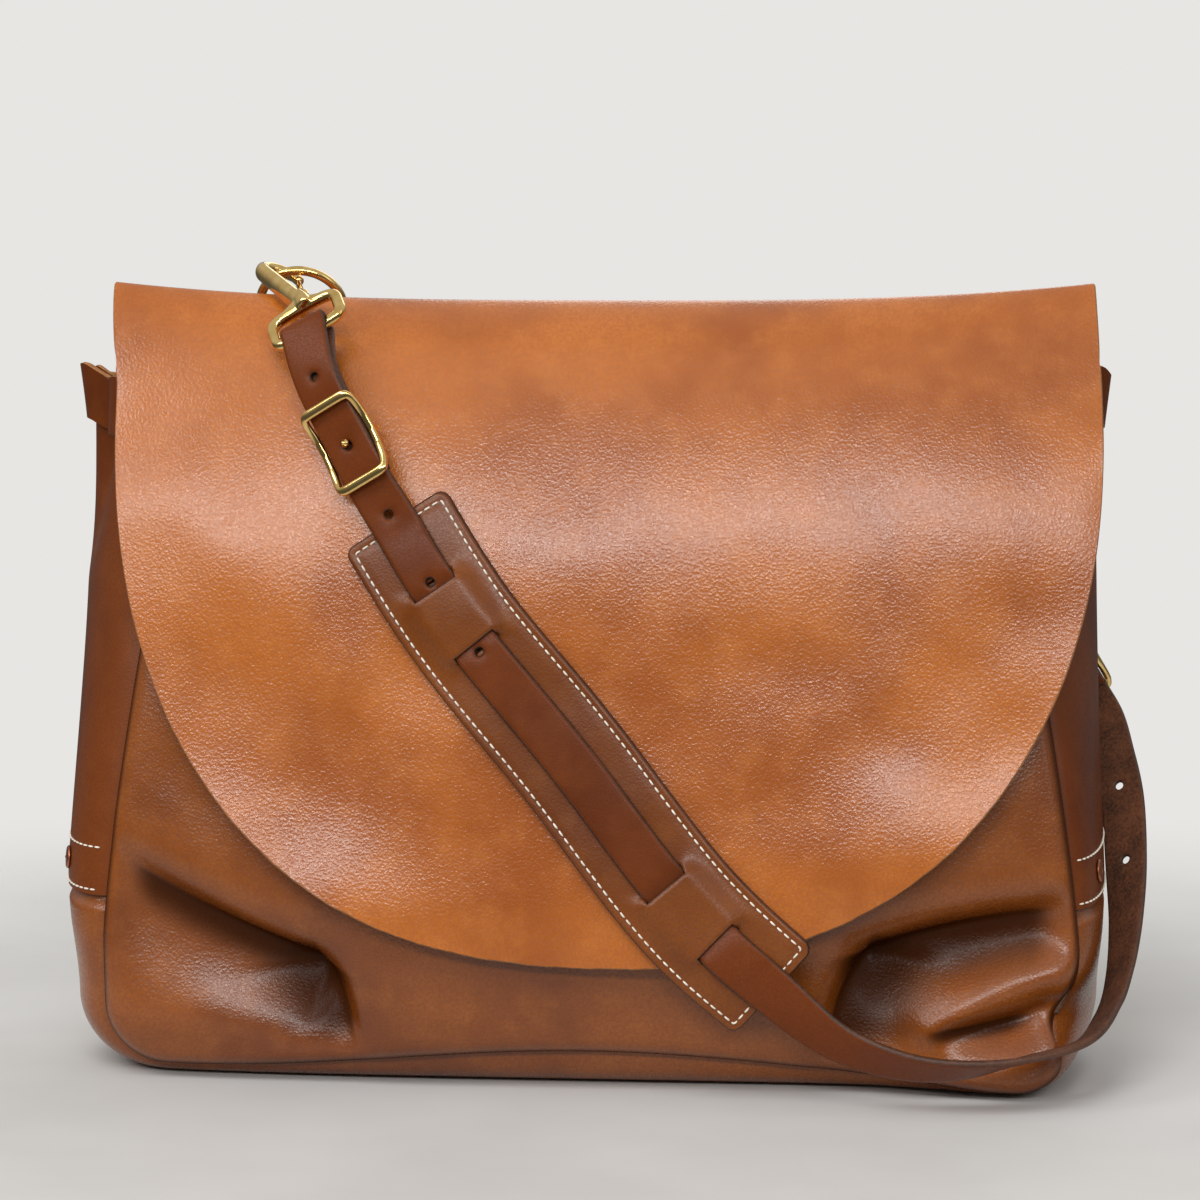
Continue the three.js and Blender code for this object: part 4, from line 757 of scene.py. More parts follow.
def back_flap():
    """The hide as a closed wall; its columns crowd towards the sides, where the outline is steep.

    Near both ends of the top fold each point is moved towards its neighbours many times, so the
    fold rolls into the back and the front without a corner.
    """
    u = np.sin(np.linspace(-1, 1, 181) * np.pi / 2)
    across = np.maximum(0, np.abs(u) * BACK_HALF - (BACK_HALF - BACK_CORNER))
    low = SEAM_HEIGHT + BACK_CORNER - np.sqrt(np.maximum(0, BACK_CORNER**2 - across**2))
    drop = (1 - np.abs(u) ** FLAP_ROUND) ** (1 / FLAP_ROUND)
    ragged = 0.12 * np.sin(61 * u) + 0.1 * np.sin(147 * u + 1) + 0.08 * np.sin(330 * u + 2)
    tip = FLAP_TOP_Z - (FLAP_TOP_Z - FLAP_TIP_Z) * drop + ragged
    climb = np.linspace(0, 1, 51)[:-1, None] ** 0.8
    over = np.linspace(1, 2, 44)[:-1, None] + 0 * u
    hang = np.linspace(0, 1, 71)[:, None]
    start, stop = low / FOLD_Z, 3 - tip / FOLD_Z
    t = np.concatenate([start + (1 - start) * climb, over, 2 + (stop - 2) * hang])
    u = np.broadcast_to(u, t.shape)
    outer = hide_point(u, t)
    supple = np.clip(bump(t - 1, 0.14) + bump(t - 2, 0.16), 0, 1)[1:-1, :, None]
    for _ in range(ROLL_PASSES):
        outer[1:-1] += 0.5 * supple * ((outer[2:] + outer[:-2]) / 2 - outer[1:-1])
    inner = outer - hide_normals(outer, t) * HIDE
    sewn = seam_distance(outer[..., 0], outer[..., 2], BACK_HALF, BACK_CORNER, SEAM_HEIGHT)
    seam = back_line(outer[..., 2]) - SEAM_ROLL
    clamped = np.maximum(inner[..., 1], seam)
    inner[..., 1] = np.where((t < 1) & (sewn < SEAM_ROLL / 2), clamped, inner[..., 1])
    points, faces, slots = wall(outer, inner, round_edge=0.3)
    put("hide", points, faces, slots, (CARAMEL, RAW_EDGE, FLESH), ["back_flap"], sharp=50)


back_flap()

# %% [markdown]
# ## Sides and base
# The gusset is a long strip that goes down one side, under the base and up the other side. Its
# two edges follow the seams of the front and the back, and it bulges out between them. At the
# top each side is folded in, as when the bag's mouth is closed.

# %% Sides and base
LAP_LOW_Z, LAP_HIGH_Z = 78, 101
SIDE_RUN = MOUTH_Z - SEAM_HEIGHT - FRONT_CORNER
SIDE_ROUND, BASE_ROUND = 2.3, 3
RIGHT_BULGE, LEFT_BULGE = (11.5, 3.5), (24, 6)
RIGHT_PINCH, LEFT_PINCH = 12, 20


def seam_at(p, line, corner, top, lip):
    """Seam of a panel: x, z, outward x and z, and turn, the share of the corner already passed.

    p runs 0 to 1 down the left side, to 2 round the corner, to 3 along the base, and up the
    right side in the same way to 5.
    """
    right = p >= 2.5
    sign = np.where(right, 1.0, -1.0)
    q = np.where(right, 5 - p, p)
    foot = SEAM_HEIGHT + corner
    angle = np.clip(q - 1, 0, 1) * np.pi / 2
    out, down = np.cos(angle), np.sin(angle)
    z_side = top + (foot - top) * q
    z_corner = foot - corner * down
    x_corner = sign * (line(z_corner, right) - corner + corner * out)
    low = np.full_like(p, SEAM_HEIGHT)
    left_end, right_end = (line(low, low > 9) - corner), (line(low, low < 9) - corner)
    x_base = -left_end + (left_end + right_end) * (p - 2)
    x = np.select([q <= 1, q <= 2], [sign * line(z_side, right), x_corner], x_base)
    z = np.select([q <= 1, q <= 2], [z_side, z_corner + lip * lip_lift(x_corner) * down],
                  SEAM_HEIGHT + lip * lip_lift(x_base))
    return x, z, sign * out * (q <= 2), -down, np.clip(q - 1, 0, 1)


def gusset_point(p, angle):
    """Skin of the gusset: p along it, angle from 0 at the front seam to pi at the back one.

    A point slides from one seam to the other while it stands out along the strip's outward
    direction by a super-ellipse; the top fold presses it in and the lobes beside it rise.
    """
    front_x, front_z, out_x, out_z, turn = seam_at(p, front_line, FRONT_CORNER, MOUTH_Z, 1)
    back_x, back_z, *_ = seam_at(p, lambda z, right: BACK_HALF + 0 * z, BACK_CORNER, BACK_SEAM_TOP, 0)
    right = p >= 2.5
    round_by = SIDE_ROUND + (BASE_ROUND - SIDE_ROUND) * turn
    w = 0.5 - 0.5 * power(np.cos(angle), 2 / round_by)
    front_y = belly(front_x, front_z) + SEAM_ROLL + 2 * GAP
    back_y = back_line(back_z) - SEAM_ROLL - 2 * GAP
    z = front_z + (back_z - front_z) * w
    drawn = draw_in(front_z, right)
    lowness = 1 - smoothstep(z, SEAM_HEIGHT + FRONT_CORNER, 90)
    side_out = np.where(right, RIGHT_BULGE[0] - RIGHT_BULGE[1] * lowness,
                        LEFT_BULGE[0] - LEFT_BULGE[1] * lowness)
    base_out = SEAM_HEIGHT + 2 + lip_lift(front_x) * (1 - w)
    bulge = side_out + (base_out - side_out) * smoothstep(turn, 0, 1)
    folded = smoothstep(z, 205, MOUTH_Z) * (1 - turn) * bump(w - 0.52, 0.17)
    pinch = np.where(right, RIGHT_PINCH, LEFT_PINCH) * folded
    out = -SEAM_TUCK + (bulge + SEAM_TUCK) * power(np.sin(angle), 2 / round_by) - pinch
    lobes = smoothstep(z, 240, MOUTH_Z) * (6 * bump(w - 0.22, 0.14) + 8.4 * bump(w - 0.78, 0.14))
    x = front_x + (back_x - front_x) * w + out_x * (out + drawn * ((1 - w) - (1 - w) ** 4))
    y = front_y + (back_y - front_y) * w
    return np.stack([x, y, np.maximum(0, z + out_z * out + lobes)], -1)


def gusset_inside(p, angle, depth):
    """Points of the gusset moved inwards by a depth along its normal, never below the floor."""
    held = np.clip(angle, 0.02, np.pi - 0.02)
    along_p = gusset_point(p + 0.01, held) - gusset_point(p - 0.01, held)
    along_a = gusset_point(p, held + 0.015) - gusset_point(p, held - 0.015)
    moved = gusset_point(p, angle) + unit(np.cross(along_p, along_a)) * np.asarray(depth)[..., None]
    moved[..., 2] = np.maximum(moved[..., 2], 0)
    return moved


def stretch(z):
    """Place along the gusset of a height on its side."""
    return (MOUTH_Z - z) / SIDE_RUN


def gusset_wall(name, ps, depth, finishes, node):
    """A stretch of gusset as a closed wall; depth says how far it lies inside its skin line."""
    p, angle = np.meshgrid(ps, np.linspace(0, np.pi, 65), indexing="ij")
    sunk = depth(p, angle)
    outer = gusset_inside(p, angle, sunk)
    inner = gusset_inside(p, angle, sunk + HIDE)
    points, faces, slots = wall(outer, inner, round_edge=0.15)
    put(name, points, faces, slots, finishes, [node], sharp=50)


def base_depth(p, angle):
    """The base strip lies behind the side pieces at its two ends and comes out below them."""
    q = np.minimum(p, 5 - p)
    lap = stretch(LAP_LOW_Z) + 0.006
    return (HIDE + 4 * GAP) * (1 - smoothstep(q, lap, lap + 0.02))


side_ps = np.linspace(0, stretch(LAP_LOW_Z), 90)
base_left = np.concatenate([np.linspace(stretch(LAP_HIGH_Z), 1, 50)[:-1], np.linspace(1, 2, 40)[:-1]])
base_ps = np.concatenate([base_left, np.linspace(2, 3, 120), (5 - base_left)[::-1]])
SIDE_FINISH = (CHESTNUT, RAW_EDGE, FLESH)
BASE_FINISH = (SHADED_BELLY_SKIN, DARK_EDGE, DARK_EDGE)
gusset_wall("base_strip", base_ps, base_depth, BASE_FINISH, "gusset_base")
for side, ps in zip(SIDES, (side_ps, 5 - side_ps)):
    gusset_wall(f"side_{side}", ps, lambda p, angle: 0 * p, SIDE_FINISH, f"gusset_{side}")

# %% [markdown]
# ## Bands at the top of the sides
# A stiff leather band runs round the top of each side, follows its fold and flares out a little.

# %% Bands at the top of the sides
BAND_TALL, BAND_PROUD, BAND_THICK = 20 / SIDE_RUN, 0.006, 3


def band_point(p, angle, extra):
    """A band stands off the side, more at its top edge; inside the fold it moves straight sideways."""
    share = (np.minimum(p, 5 - p) + BAND_PROUD) / (BAND_TALL + BAND_PROUD)
    distance = 2 * GAP + 1.4 * bump(angle - np.pi / 2, 0.5) + 2.6 * (1 - share) + extra
    sideways = np.where(p >= 2.5, 1, -1)[..., None] * ALONG_X
    straight = gusset_point(p, angle) + sideways * distance[..., None]
    bent = gusset_inside(p, angle, -distance)
    return bent + (straight - bent) * 0.8 * bump(angle - np.pi / 2, 0.5)[..., None]


def band(side):
    """A band as a closed wall between two distances from the side."""
    p, angle = np.meshgrid(np.linspace(-BAND_PROUD, BAND_TALL, 15), np.linspace(0.16, np.pi - 0.16, 90),
                           indexing="ij")
    p = p if side == "left" else 5 - p
    outer, inner = band_point(p, angle, BAND_THICK), band_point(p, angle, 0)
    points, faces, slots = wall(outer, inner, round_edge=0.15)
    put(f"top_band_{side}", points, faces, slots, SIDE_FINISH, [f"band_{side}"], sharp=50)


for side in SIDES:
    band(side)

# %% [markdown]
# ## Bars and turned pieces
# Rings, hooks and buckles are round bars carried along a path. Each section is an ellipse, or a
# squarer super-ellipse, whose two half sizes may change along the bar. Open ends close in a dome.


# %% Bars and turned pieces
def bar(path, up, wide, high, sides=16, closed=False, square=1.0):
    """Points and faces of a bar along a path; up is the direction of the half size high.

    A square below 1 is the power that makes the section squarer.
    """
    path = np.asarray(path, float)
    wide, high = (np.broadcast_to(np.asarray(v, float), len(path)) for v in (wide, high))
    if closed:
        tangent = unit(np.roll(path, -1, 0) - np.roll(path, 1, 0))
    else:
        tangent = unit(np.gradient(path, axis=0))
        dome = np.radians([90, 60, 30])
        shrink = np.maximum(np.cos(dome), 1e-4)
        head, foot = (tangent[end] * (0.6 * min(wide[end], high[end]) * np.sin(dome)[:, None])
                      for end in (0, -1))
        path = np.concatenate([path[0] - head, path, (path[-1] + foot)[::-1]])
        tangent = np.concatenate([tangent[[0] * 3], tangent, tangent[[-1] * 3]])
        wide, high = (np.concatenate([v[0] * shrink, v, (v[-1] * shrink)[::-1]]) for v in (wide, high))
    side = unit(np.cross(tangent, up))
    top = np.cross(side, tangent)
    angle = np.linspace(0, 2 * np.pi, sides, endpoint=False)
    points = (path[:, None] + side[:, None] * (wide[:, None] * power(np.cos(angle), square))[..., None]
              + top[:, None] * (high[:, None] * power(np.sin(angle), square))[..., None])
    index = np.arange(points.shape[0] * sides).reshape(-1, sides)
    if closed:
        index = np.concatenate([index, index[:1]])
    after = np.roll(index, -1, axis=1)
    faces = np.stack([index[:-1], after[:-1], after[1:], index[1:]], -1).reshape(-1, 4)
    return points.reshape(-1, 3), faces


def together(*parts):
    """Several shapes as one list of points and faces."""
    starts = np.cumsum([0] + [len(points) for points, _ in parts[:-1]])
    points = np.concatenate([points for points, _ in parts])
    faces = np.concatenate([faces + start for (_, faces), start in zip(parts, starts)])
    return points, faces


def put_metal(name, shape, finish_used, node, body="bag"):
    """A piece of hardware with one finish."""
    points, faces = shape
    return put(name, points, faces, np.zeros(len(faces)), (finish_used,), [node], body)


def cast(piece, voxel, smooth):
    """Fuses the bars of a cast piece into one skin: a fine voxel remesh, then a light smoothing."""
    remesh = piece.modifiers.new("fuse", "REMESH")
    remesh.mode, remesh.voxel_size, remesh.use_smooth_shade = "VOXEL", voxel * MM, True
    soften = piece.modifiers.new("soften", "SMOOTH")
    soften.factor, soften.iterations = 0.5, smooth
    seen = piece.evaluated_get(bpy.context.evaluated_depsgraph_get())
    fused = bpy.data.meshes.new_from_object(seen)
    piece.modifiers.clear()
    piece.data = fused
    print(piece.name, "fused into", len(fused.polygons), "faces")


print("bar helper ready")

# %% [markdown]
# ## Rivets
# A copper rivet pins each lap of the sides: a low domed head outside and a burr inside.

# %% Rivets
RIVET_UP = np.array([0, 0.3, 1])


def rivet(side):
    """A turned piece: its radius changes along its axis from the head to the inner burr."""
    lap = stretch((LAP_LOW_Z + LAP_HIGH_Z) / 2)
    p = np.array(lap if side == "left" else 5 - lap)
    angle = np.array(1.05)
    seat = gusset_inside(p, angle, 0.0)
    outward = unit(gusset_inside(p, angle, -1.0) - seat)
    burr = -2 * HIDE - 7 * GAP
    depth = np.array([1.5, 1.45, 1.3, 0.9, GAP, GAP, burr, burr, burr - 0.9])
    radius = np.array([0.8, 2.6, 4.3, 4.9, 5.0, 1.6, 1.6, 4.0, 4.0])
    path = seat + outward * depth[:, None]
    path[5:] -= outward * 0.001 * np.arange(4)[:, None]
    turned = bar(path, RIVET_UP, radius, radius, 28)
    put_metal(f"copper_rivet_{side}", turned, COPPER, f"rivet_{side}")


for side in SIDES:
    rivet(side)

# %% [markdown]
# ## Rings
# Two D-rings hang in loops on the back of the top fold. The left one shows beside the hook.

# %% Rings
RING_X = {"left": -131.0, "right": 131.0}
RING_LEAN = {"left": np.array([0, -0.563, 0.827]), "right": np.array([0, 0.6, -0.8])}
RING_HALF, RING_LEG, RING_WIRE = 18, 10, 2


def ring_bar(side):
    """Middle of a ring's straight foot."""
    return np.array([RING_X[side], 26.0, 317.0])


def ring_arc(side, angle):
    """Round end of a ring: a half circle past its straight legs."""
    angle = np.asarray(angle)[..., None]
    lean = RING_LEAN[side] * (RING_LEG + RING_HALF * np.cos(angle))
    return ring_bar(side) + lean + ALONG_X * RING_HALF * np.sin(angle)


def ring(side):
    """Closed wire: a straight foot with small round corners, and the arc."""
    foot = ring_bar(side) + np.linspace(-0.93, 0.93, 24)[:, None] * (ALONG_X * RING_HALF)
    corner = RING_LEAN[side] * (0.07 * RING_HALF)
    legs = [ring_bar(side) + ALONG_X * sign * RING_HALF + corner for sign in (1, -1)]
    arc = ring_arc(side, np.linspace(np.pi / 2, -np.pi / 2, 60))
    path = np.concatenate([foot, legs[:1], arc, legs[1:]])
    up = np.cross([1, 0, 0], RING_LEAN[side])
    put_metal(f"d_ring_{side}", bar(path, up, RING_WIRE, RING_WIRE, 18, True), BRASS, f"ring_{side}")


for side in SIDES:
    ring(side)

# %% [markdown]
# ## Snap hooks
# A snap hook is cast brass: a wide loop for the strap, a neck that fans out to it and a hook
# that curls round the ring. The bars are laid out first and then fused, so that they flow into
# each other as cast metal does. The gate is a piece of its own, because it swings.

# %% Snap hooks
HOOK_LENGTH, HOOK_RADIUS, NECK_TO_EYE = 41, 7.6, 11
EYE_WIRE, EYE_HALF, EYE_DEEP = 2.6, 15.4, 8
HOOK_BEND = HOOK_LENGTH - 0.6
GATE_PIVOT, GATE_TIP = (9, 5.2), (32.5, 13.4)
HOOK_TIP = GATE_TIP[0] + 2.6
ARM_FEET = (-8.5, -3, 3, 8.5)


def snap_frame(seat, axis, curl, hang, across, shift):
    """Directions and places of a snap, from the point of the ring that it holds."""
    axis, hang = unit(np.array(axis)), unit(np.array(hang))
    curl = np.array(curl)
    curl = unit(curl - axis * (curl @ axis))
    across = np.array(across)
    across = unit(across - hang * (across @ hang))
    neck = seat - axis * HOOK_LENGTH - curl * HOOK_RADIUS
    eye = neck + hang * NECK_TO_EYE
    return {"axis": axis, "curl": curl, "hang": hang, "across": across, "plane": np.cross(axis, curl),
            "neck": neck, "eye": eye, "bar": eye + hang * EYE_DEEP, "shift": shift}


SNAPS = {
    "left": snap_frame(ring_arc("left", -0.5), (-0.515, 0.785, 0.3), (0.6, 0.75, -0.05),
                       (0.33, -0.73, -0.6), (0.876, 0, 0.48), -1.3),
    "right": snap_frame(ring_arc("right", 0.0), (-0.5, -0.12, 0.86), (0, -1, 0),
                        (0.5, 0.12, -0.86), (0.87, 0, 0.5), 0),
}


def snap_point(snap, along, aside):
    """Places in a snap's own plane: along its shank and aside towards the gate."""
    along, aside = np.broadcast_arrays(np.asarray(along, float), np.asarray(aside, float))
    return snap["neck"] + snap["axis"] * along[..., None] + snap["curl"] * aside[..., None]


def snap_bars(snap):
    """Strap loop, neck, the arms of the fan and the hook as bars."""
    turn = np.linspace(0, 2 * np.pi, 96, endpoint=False)[:, None]
    loop = (snap["eye"] + snap["across"] * EYE_HALF * power(np.cos(turn), 0.6)
            + snap["hang"] * EYE_DEEP * power(np.sin(turn), 0.4))
    eye = bar(loop, np.cross(snap["across"], snap["hang"]), EYE_WIRE, EYE_WIRE, 16, True)
    neck_path = np.stack([snap["neck"] + snap["hang"] * (NECK_TO_EYE - EYE_DEEP), snap["neck"],
                          snap_point(snap, 5, 0)])
    neck = bar(neck_path, snap["plane"], [3.4, 3.3, 2.8], [6.4, 5.6, 5.2])
    feet = [snap["eye"] - snap["hang"] * EYE_DEEP + snap["across"] * aside for aside in ARM_FEET]
    arms = [bar(np.stack([snap["neck"], foot]), snap["plane"], [3, 2.4], [3, 2.4]) for foot in feet]
    angle = np.linspace(np.pi, 0.05, 40)
    straight = snap_point(snap, np.linspace(2, HOOK_BEND, 16)[:-1], 0)
    bend = snap_point(snap, HOOK_BEND + HOOK_RADIUS * np.sin(angle), HOOK_RADIUS * (1 + np.cos(angle)))
    tip = snap_point(snap, [HOOK_TIP], 2 * HOOK_RADIUS)
    line = np.concatenate([straight, bend, tip])
    taper = np.linspace(0, 1, len(line))
    hook = bar(line, snap["plane"], 3.2 - 1.2 * taper, 4.5 - 2.2 * taper, 24)
    return eye, neck, *arms, hook


def snap_ears(snap):
    """Two small cheeks that hold the gate's pin, and the pin."""
    pivot = snap_point(snap, *GATE_PIVOT)
    cheeks = [bar(np.stack([snap_point(snap, GATE_PIVOT[0], 0) + shift, pivot + snap["curl"] * 1.2 + shift]),
                  snap["plane"], 2.4, 0.7) for shift in (snap["plane"] * 2.7, snap["plane"] * -2.7)]
    pin = bar(np.stack([pivot - snap["plane"] * 3.4, pivot + snap["plane"] * 3.4]), snap["curl"], 1.2, 1.2)
    return (*cheeks, pin)


left_snap = put_metal("snap_hook_left", together(*snap_bars(SNAPS["left"]), *snap_ears(SNAPS["left"])),
                      BRASS, "snap_left")
cast(left_snap, 0.4, 6)

gate_path = snap_point(SNAPS["left"], np.linspace(GATE_PIVOT[0], GATE_TIP[0], 12),
                       np.linspace(GATE_PIVOT[1], GATE_TIP[1], 12))
pivot = gate_path[0]
barrel = np.stack([pivot - SNAPS["left"]["plane"] * 1.2, pivot + SNAPS["left"]["plane"] * 1.2])
gate = together(bar(gate_path, SNAPS["left"]["plane"], np.linspace(1.5, 1.1, 12), 1.6),
                bar(barrel, SNAPS["left"]["curl"], 2.1, 2.1, 20))
put_metal("hook_gate", gate, BRASS, "snap_gate", "gate")

closed_gate = bar(np.stack([snap_point(SNAPS["right"], 5, 1),
                            snap_point(SNAPS["right"], HOOK_TIP, 2 * HOOK_RADIUS)]),
                  SNAPS["right"]["plane"], 1.4, 1.6)
right_snap = put_metal("snap_hook_right", together(*snap_bars(SNAPS["right"]), closed_gate), BRASS,
                       "snap_right")
cast(right_snap, 0.5, 6)

# %% [markdown]
# ## Shoulder pad
# The pad is two layers of leather sewn round the edge. Its top layer has four slots, and where
# the strap dives through them the layer rises over it. The pad's grid has lines exactly on the
# slots' edges, so leaving out a few cells opens the slots.

# %% Shoulder pad
PAD_LINE = np.array([
    # x, y, z
    (-80.5, 0, 238.4), (-63.6, 0, 212.3), (-45.1, 0, 187.2), (-6.7, 0, 142.1),
    (31.3, 0, 93.7), (53.8, 0, 69.4), (77.5, 0, 48.4),
])
SLOTS = [(31, 1), (62, -1), (185, 1), (218, -1)]
PAD_HALF, PAD_CORNER, PAD_THICK, PAD_LIFT = 24.0, 4.0, 2.0, 0.4
SLOT_HALF, SLOT_GAP, RISE_FOOT = 10.4, 2.2, 20.0
STRAP_WIDE, STRAP_THICK, STRAP_CROWN = 19.0, 3.0, 0.25
PAD_TOP = PAD_LIFT + PAD_THICK + GAP
OVER = PAD_TOP + PAD_THICK + 2 * GAP + STRAP_THICK / 2
UNDER = PAD_TOP + GAP + STRAP_THICK / 2

pad_t = np.linspace(0, 1, 601)
pad_run = run_along(through(PAD_LINE, pad_t))
PAD_LENGTH = pad_run[-1]


def under_top(along, reach):
    """1 where the strap runs under the top layer, else 0, changing over each slot."""
    return sum(sign * smoothstep(along, at - reach, at + reach) for at, sign in SLOTS)


def pad_point(along, across, level):
    """A point of the pad: along its middle line, across it, and at a level in front of the flap."""
    t = np.interp(along, pad_run, pad_t)
    middle = through(PAD_LINE, t.ravel()).reshape(*t.shape, 3)
    ahead = through(PAD_LINE, np.minimum(t + 0.004, 1).ravel()).reshape(*t.shape, 3)
    behind = through(PAD_LINE, np.maximum(t - 0.004, 0).ravel()).reshape(*t.shape, 3)
    heading = unit(ahead - behind)
    x = middle[..., 0] - heading[..., 2] * across
    z = middle[..., 2] + heading[..., 0] * across
    return np.stack([x, flap_face(x, z) - level, z], -1)


def pad_half(along):
    """Half width of the pad, with round corners."""
    end = np.clip(1 - np.minimum(along, PAD_LENGTH - along) / PAD_CORNER, 0, 1)
    return PAD_HALF - PAD_CORNER + PAD_CORNER * np.sqrt(1 - end * end)


def filled(stops, spacing):
    """Places from the first stop to the last that hit every stop, about a spacing apart."""
    parts = [np.linspace(a, b, max(2, int(round((b - a) / spacing)) + 1))[:-1]
             for a, b in zip(stops[:-1], stops[1:])]
    return np.concatenate([*parts, [stops[-1]]])


slot_edges = sorted(at + sign * SLOT_GAP for at, _ in SLOTS for sign in (-1, 1))
pad_along = np.concatenate([
    PAD_CORNER * (1 - np.cos(np.linspace(0, np.pi / 2, 8)))[:-1],
    filled([PAD_CORNER, *slot_edges, PAD_LENGTH - PAD_CORNER], 1.5),
    PAD_LENGTH - PAD_CORNER * (1 - np.cos(np.linspace(np.pi / 2, 0, 8)))[1:],
])
pad_across = filled([-PAD_HALF, -RISE_FOOT, -SLOT_HALF, SLOT_HALF, RISE_FOOT, PAD_HALF], 1.4) / PAD_HALF


def pad_rise(along, across):
    """How far the top layer rises over the strap; beside the slots it changes more gently."""
    beside = np.maximum(np.abs(across) - SLOT_HALF, 0)
    raised = under_top(along, SLOT_GAP + 0.9 * beside)
    return (STRAP_THICK + 2 * GAP) * raised * (1 - smoothstep(np.abs(across), SLOT_HALF - 1, RISE_FOOT))


def pad_layer(name, level, keep, node):
    """One layer of the pad as a closed wall."""
    along, share = np.meshgrid(pad_along, pad_across, indexing="ij")
    across = share * pad_half(along)
    base = level(along, across)
    border = np.minimum(PAD_HALF - np.abs(across), np.minimum(along, PAD_LENGTH - along))
    soft = 0.35 * bump(border - 3.2, 0.9)
    outer = pad_point(along, across, base + PAD_THICK - soft)
    inner = pad_point(along, across, base)
    points, faces, slots = wall(outer, inner, keep, 0.3)
    put(name, points, faces, slots, (PAD_SKIN, DARK_EDGE, FLESH), [node])


mid_along = (pad_along[1:] + pad_along[:-1]) / 2
mid_across = (pad_across[1:] + pad_across[:-1]) / 2 * PAD_HALF
in_slot = np.any([np.abs(mid_along - at) < SLOT_GAP for at, _ in SLOTS], axis=0)
open_cells = in_slot[:, None] & (np.abs(mid_across) < SLOT_HALF)
pad_layer("pad_upper_layer", lambda a, c: PAD_TOP + pad_rise(a, c), ~open_cells, "pad_top")
pad_layer("pad_lower_layer", lambda a, c: PAD_LIFT + 0 * a, None, "pad_base")
print("pad length", round(PAD_LENGTH, 1))

# %% [markdown]
# ## Strap
# The strap starts under the front buckle, folds round the snap's loop, comes back through the
# buckle, dives through the pad, leaves it at the bottom, and climbs behind the bag to the other
# snap. A list of places with the direction of its edge is enough; smooth curves run through
# both. Its grid is square, so a hole is a few cells left out, with the cells round it bent from
# a square into a circle.

# %% Strap
UPPER_ROUTE = [
    # x, z, lift, turn
    (-114, 296.5, 13.8, 0.3), (-100.2, 270.6, 13.6, 0.28), (-91.5, 255.4, 12.6, 0.24),
]
FREE_ROUTE = np.array([
    # x, y, z, edge x, edge y, edge z
    (101, -84, 29.5, 0.35, -0.5, 0.8), (128, -88.5, 20, 0.1, -0.72, 0.68),
    (154, -88.5, 18, 0.05, -0.85, 0.5), (181, -82, 21.5, 0.08, -0.97, 0.22),
    (204.5, -65, 25.5, 0.08, -0.97, 0.2), (216, -42, 34, 0.18, -0.96, 0.18),
    (222, -23, 46.5, 0.34, -0.92, 0.18), (225.3, -4, 64.5, 0.55, -0.82, 0.15),
    (226, 12, 86, 0.8, -0.58, 0.15), (225.2, 31, 110, 0.87, -0.4, 0.25),
    (221, 48, 129, 0.92, -0.15, 0.35), (217.5, 61.5, 141.5, 0.9, -0.05, 0.45),
    (211, 68.3, 152.5, 0.87, 0, 0.5), (203, 67.2, 166, 0.87, 0, 0.5),
    (188.5, 63.3, 191, 0.87, 0, 0.5), (174, 59.8, 217, 0.87, 0, 0.5),
])
BACK_BUCKLE_ROW = 13
TURN_RADIUS = EYE_WIRE + 2.5 * GAP + STRAP_THICK / 2


def on_flap(row, following):
    """A place above the flap and the strap's edge direction there."""
    x, z, lift, turn = row
    heading = unit(np.array([following[0] - x, 0, following[1] - z]))
    edge = np.array([-heading[2], 0, heading[0]])
    xs, zs = x + 2 * edge[0] * np.array([1, -1]), z + 2 * edge[2] * np.array([1, -1])
    front = belly(xs, zs)
    edge[1] = (front[0] - front[1]) / 4 - turn
    return np.array([x, belly(np.array(x), np.array(z)) - FLAP_OFF - lift, z]), unit(edge)


def bar_turn(snap, outward):
    """Half turn of the strap round a snap's bar."""
    angle = np.linspace(-np.pi / 2, np.pi / 2, 5)[:, None]
    points = (snap["bar"] + snap["across"] * snap["shift"] - snap["hang"] * TURN_RADIUS * np.cos(angle)
              + outward * TURN_RADIUS * np.sin(angle))
    return points, np.repeat(snap["across"][None], 5, 0)


def layer_behind(points, edges, headings):
    """The strap's second layer, one thickness behind the first."""
    return points - unit(np.cross(headings, edges)) * (STRAP_THICK + GAP), edges


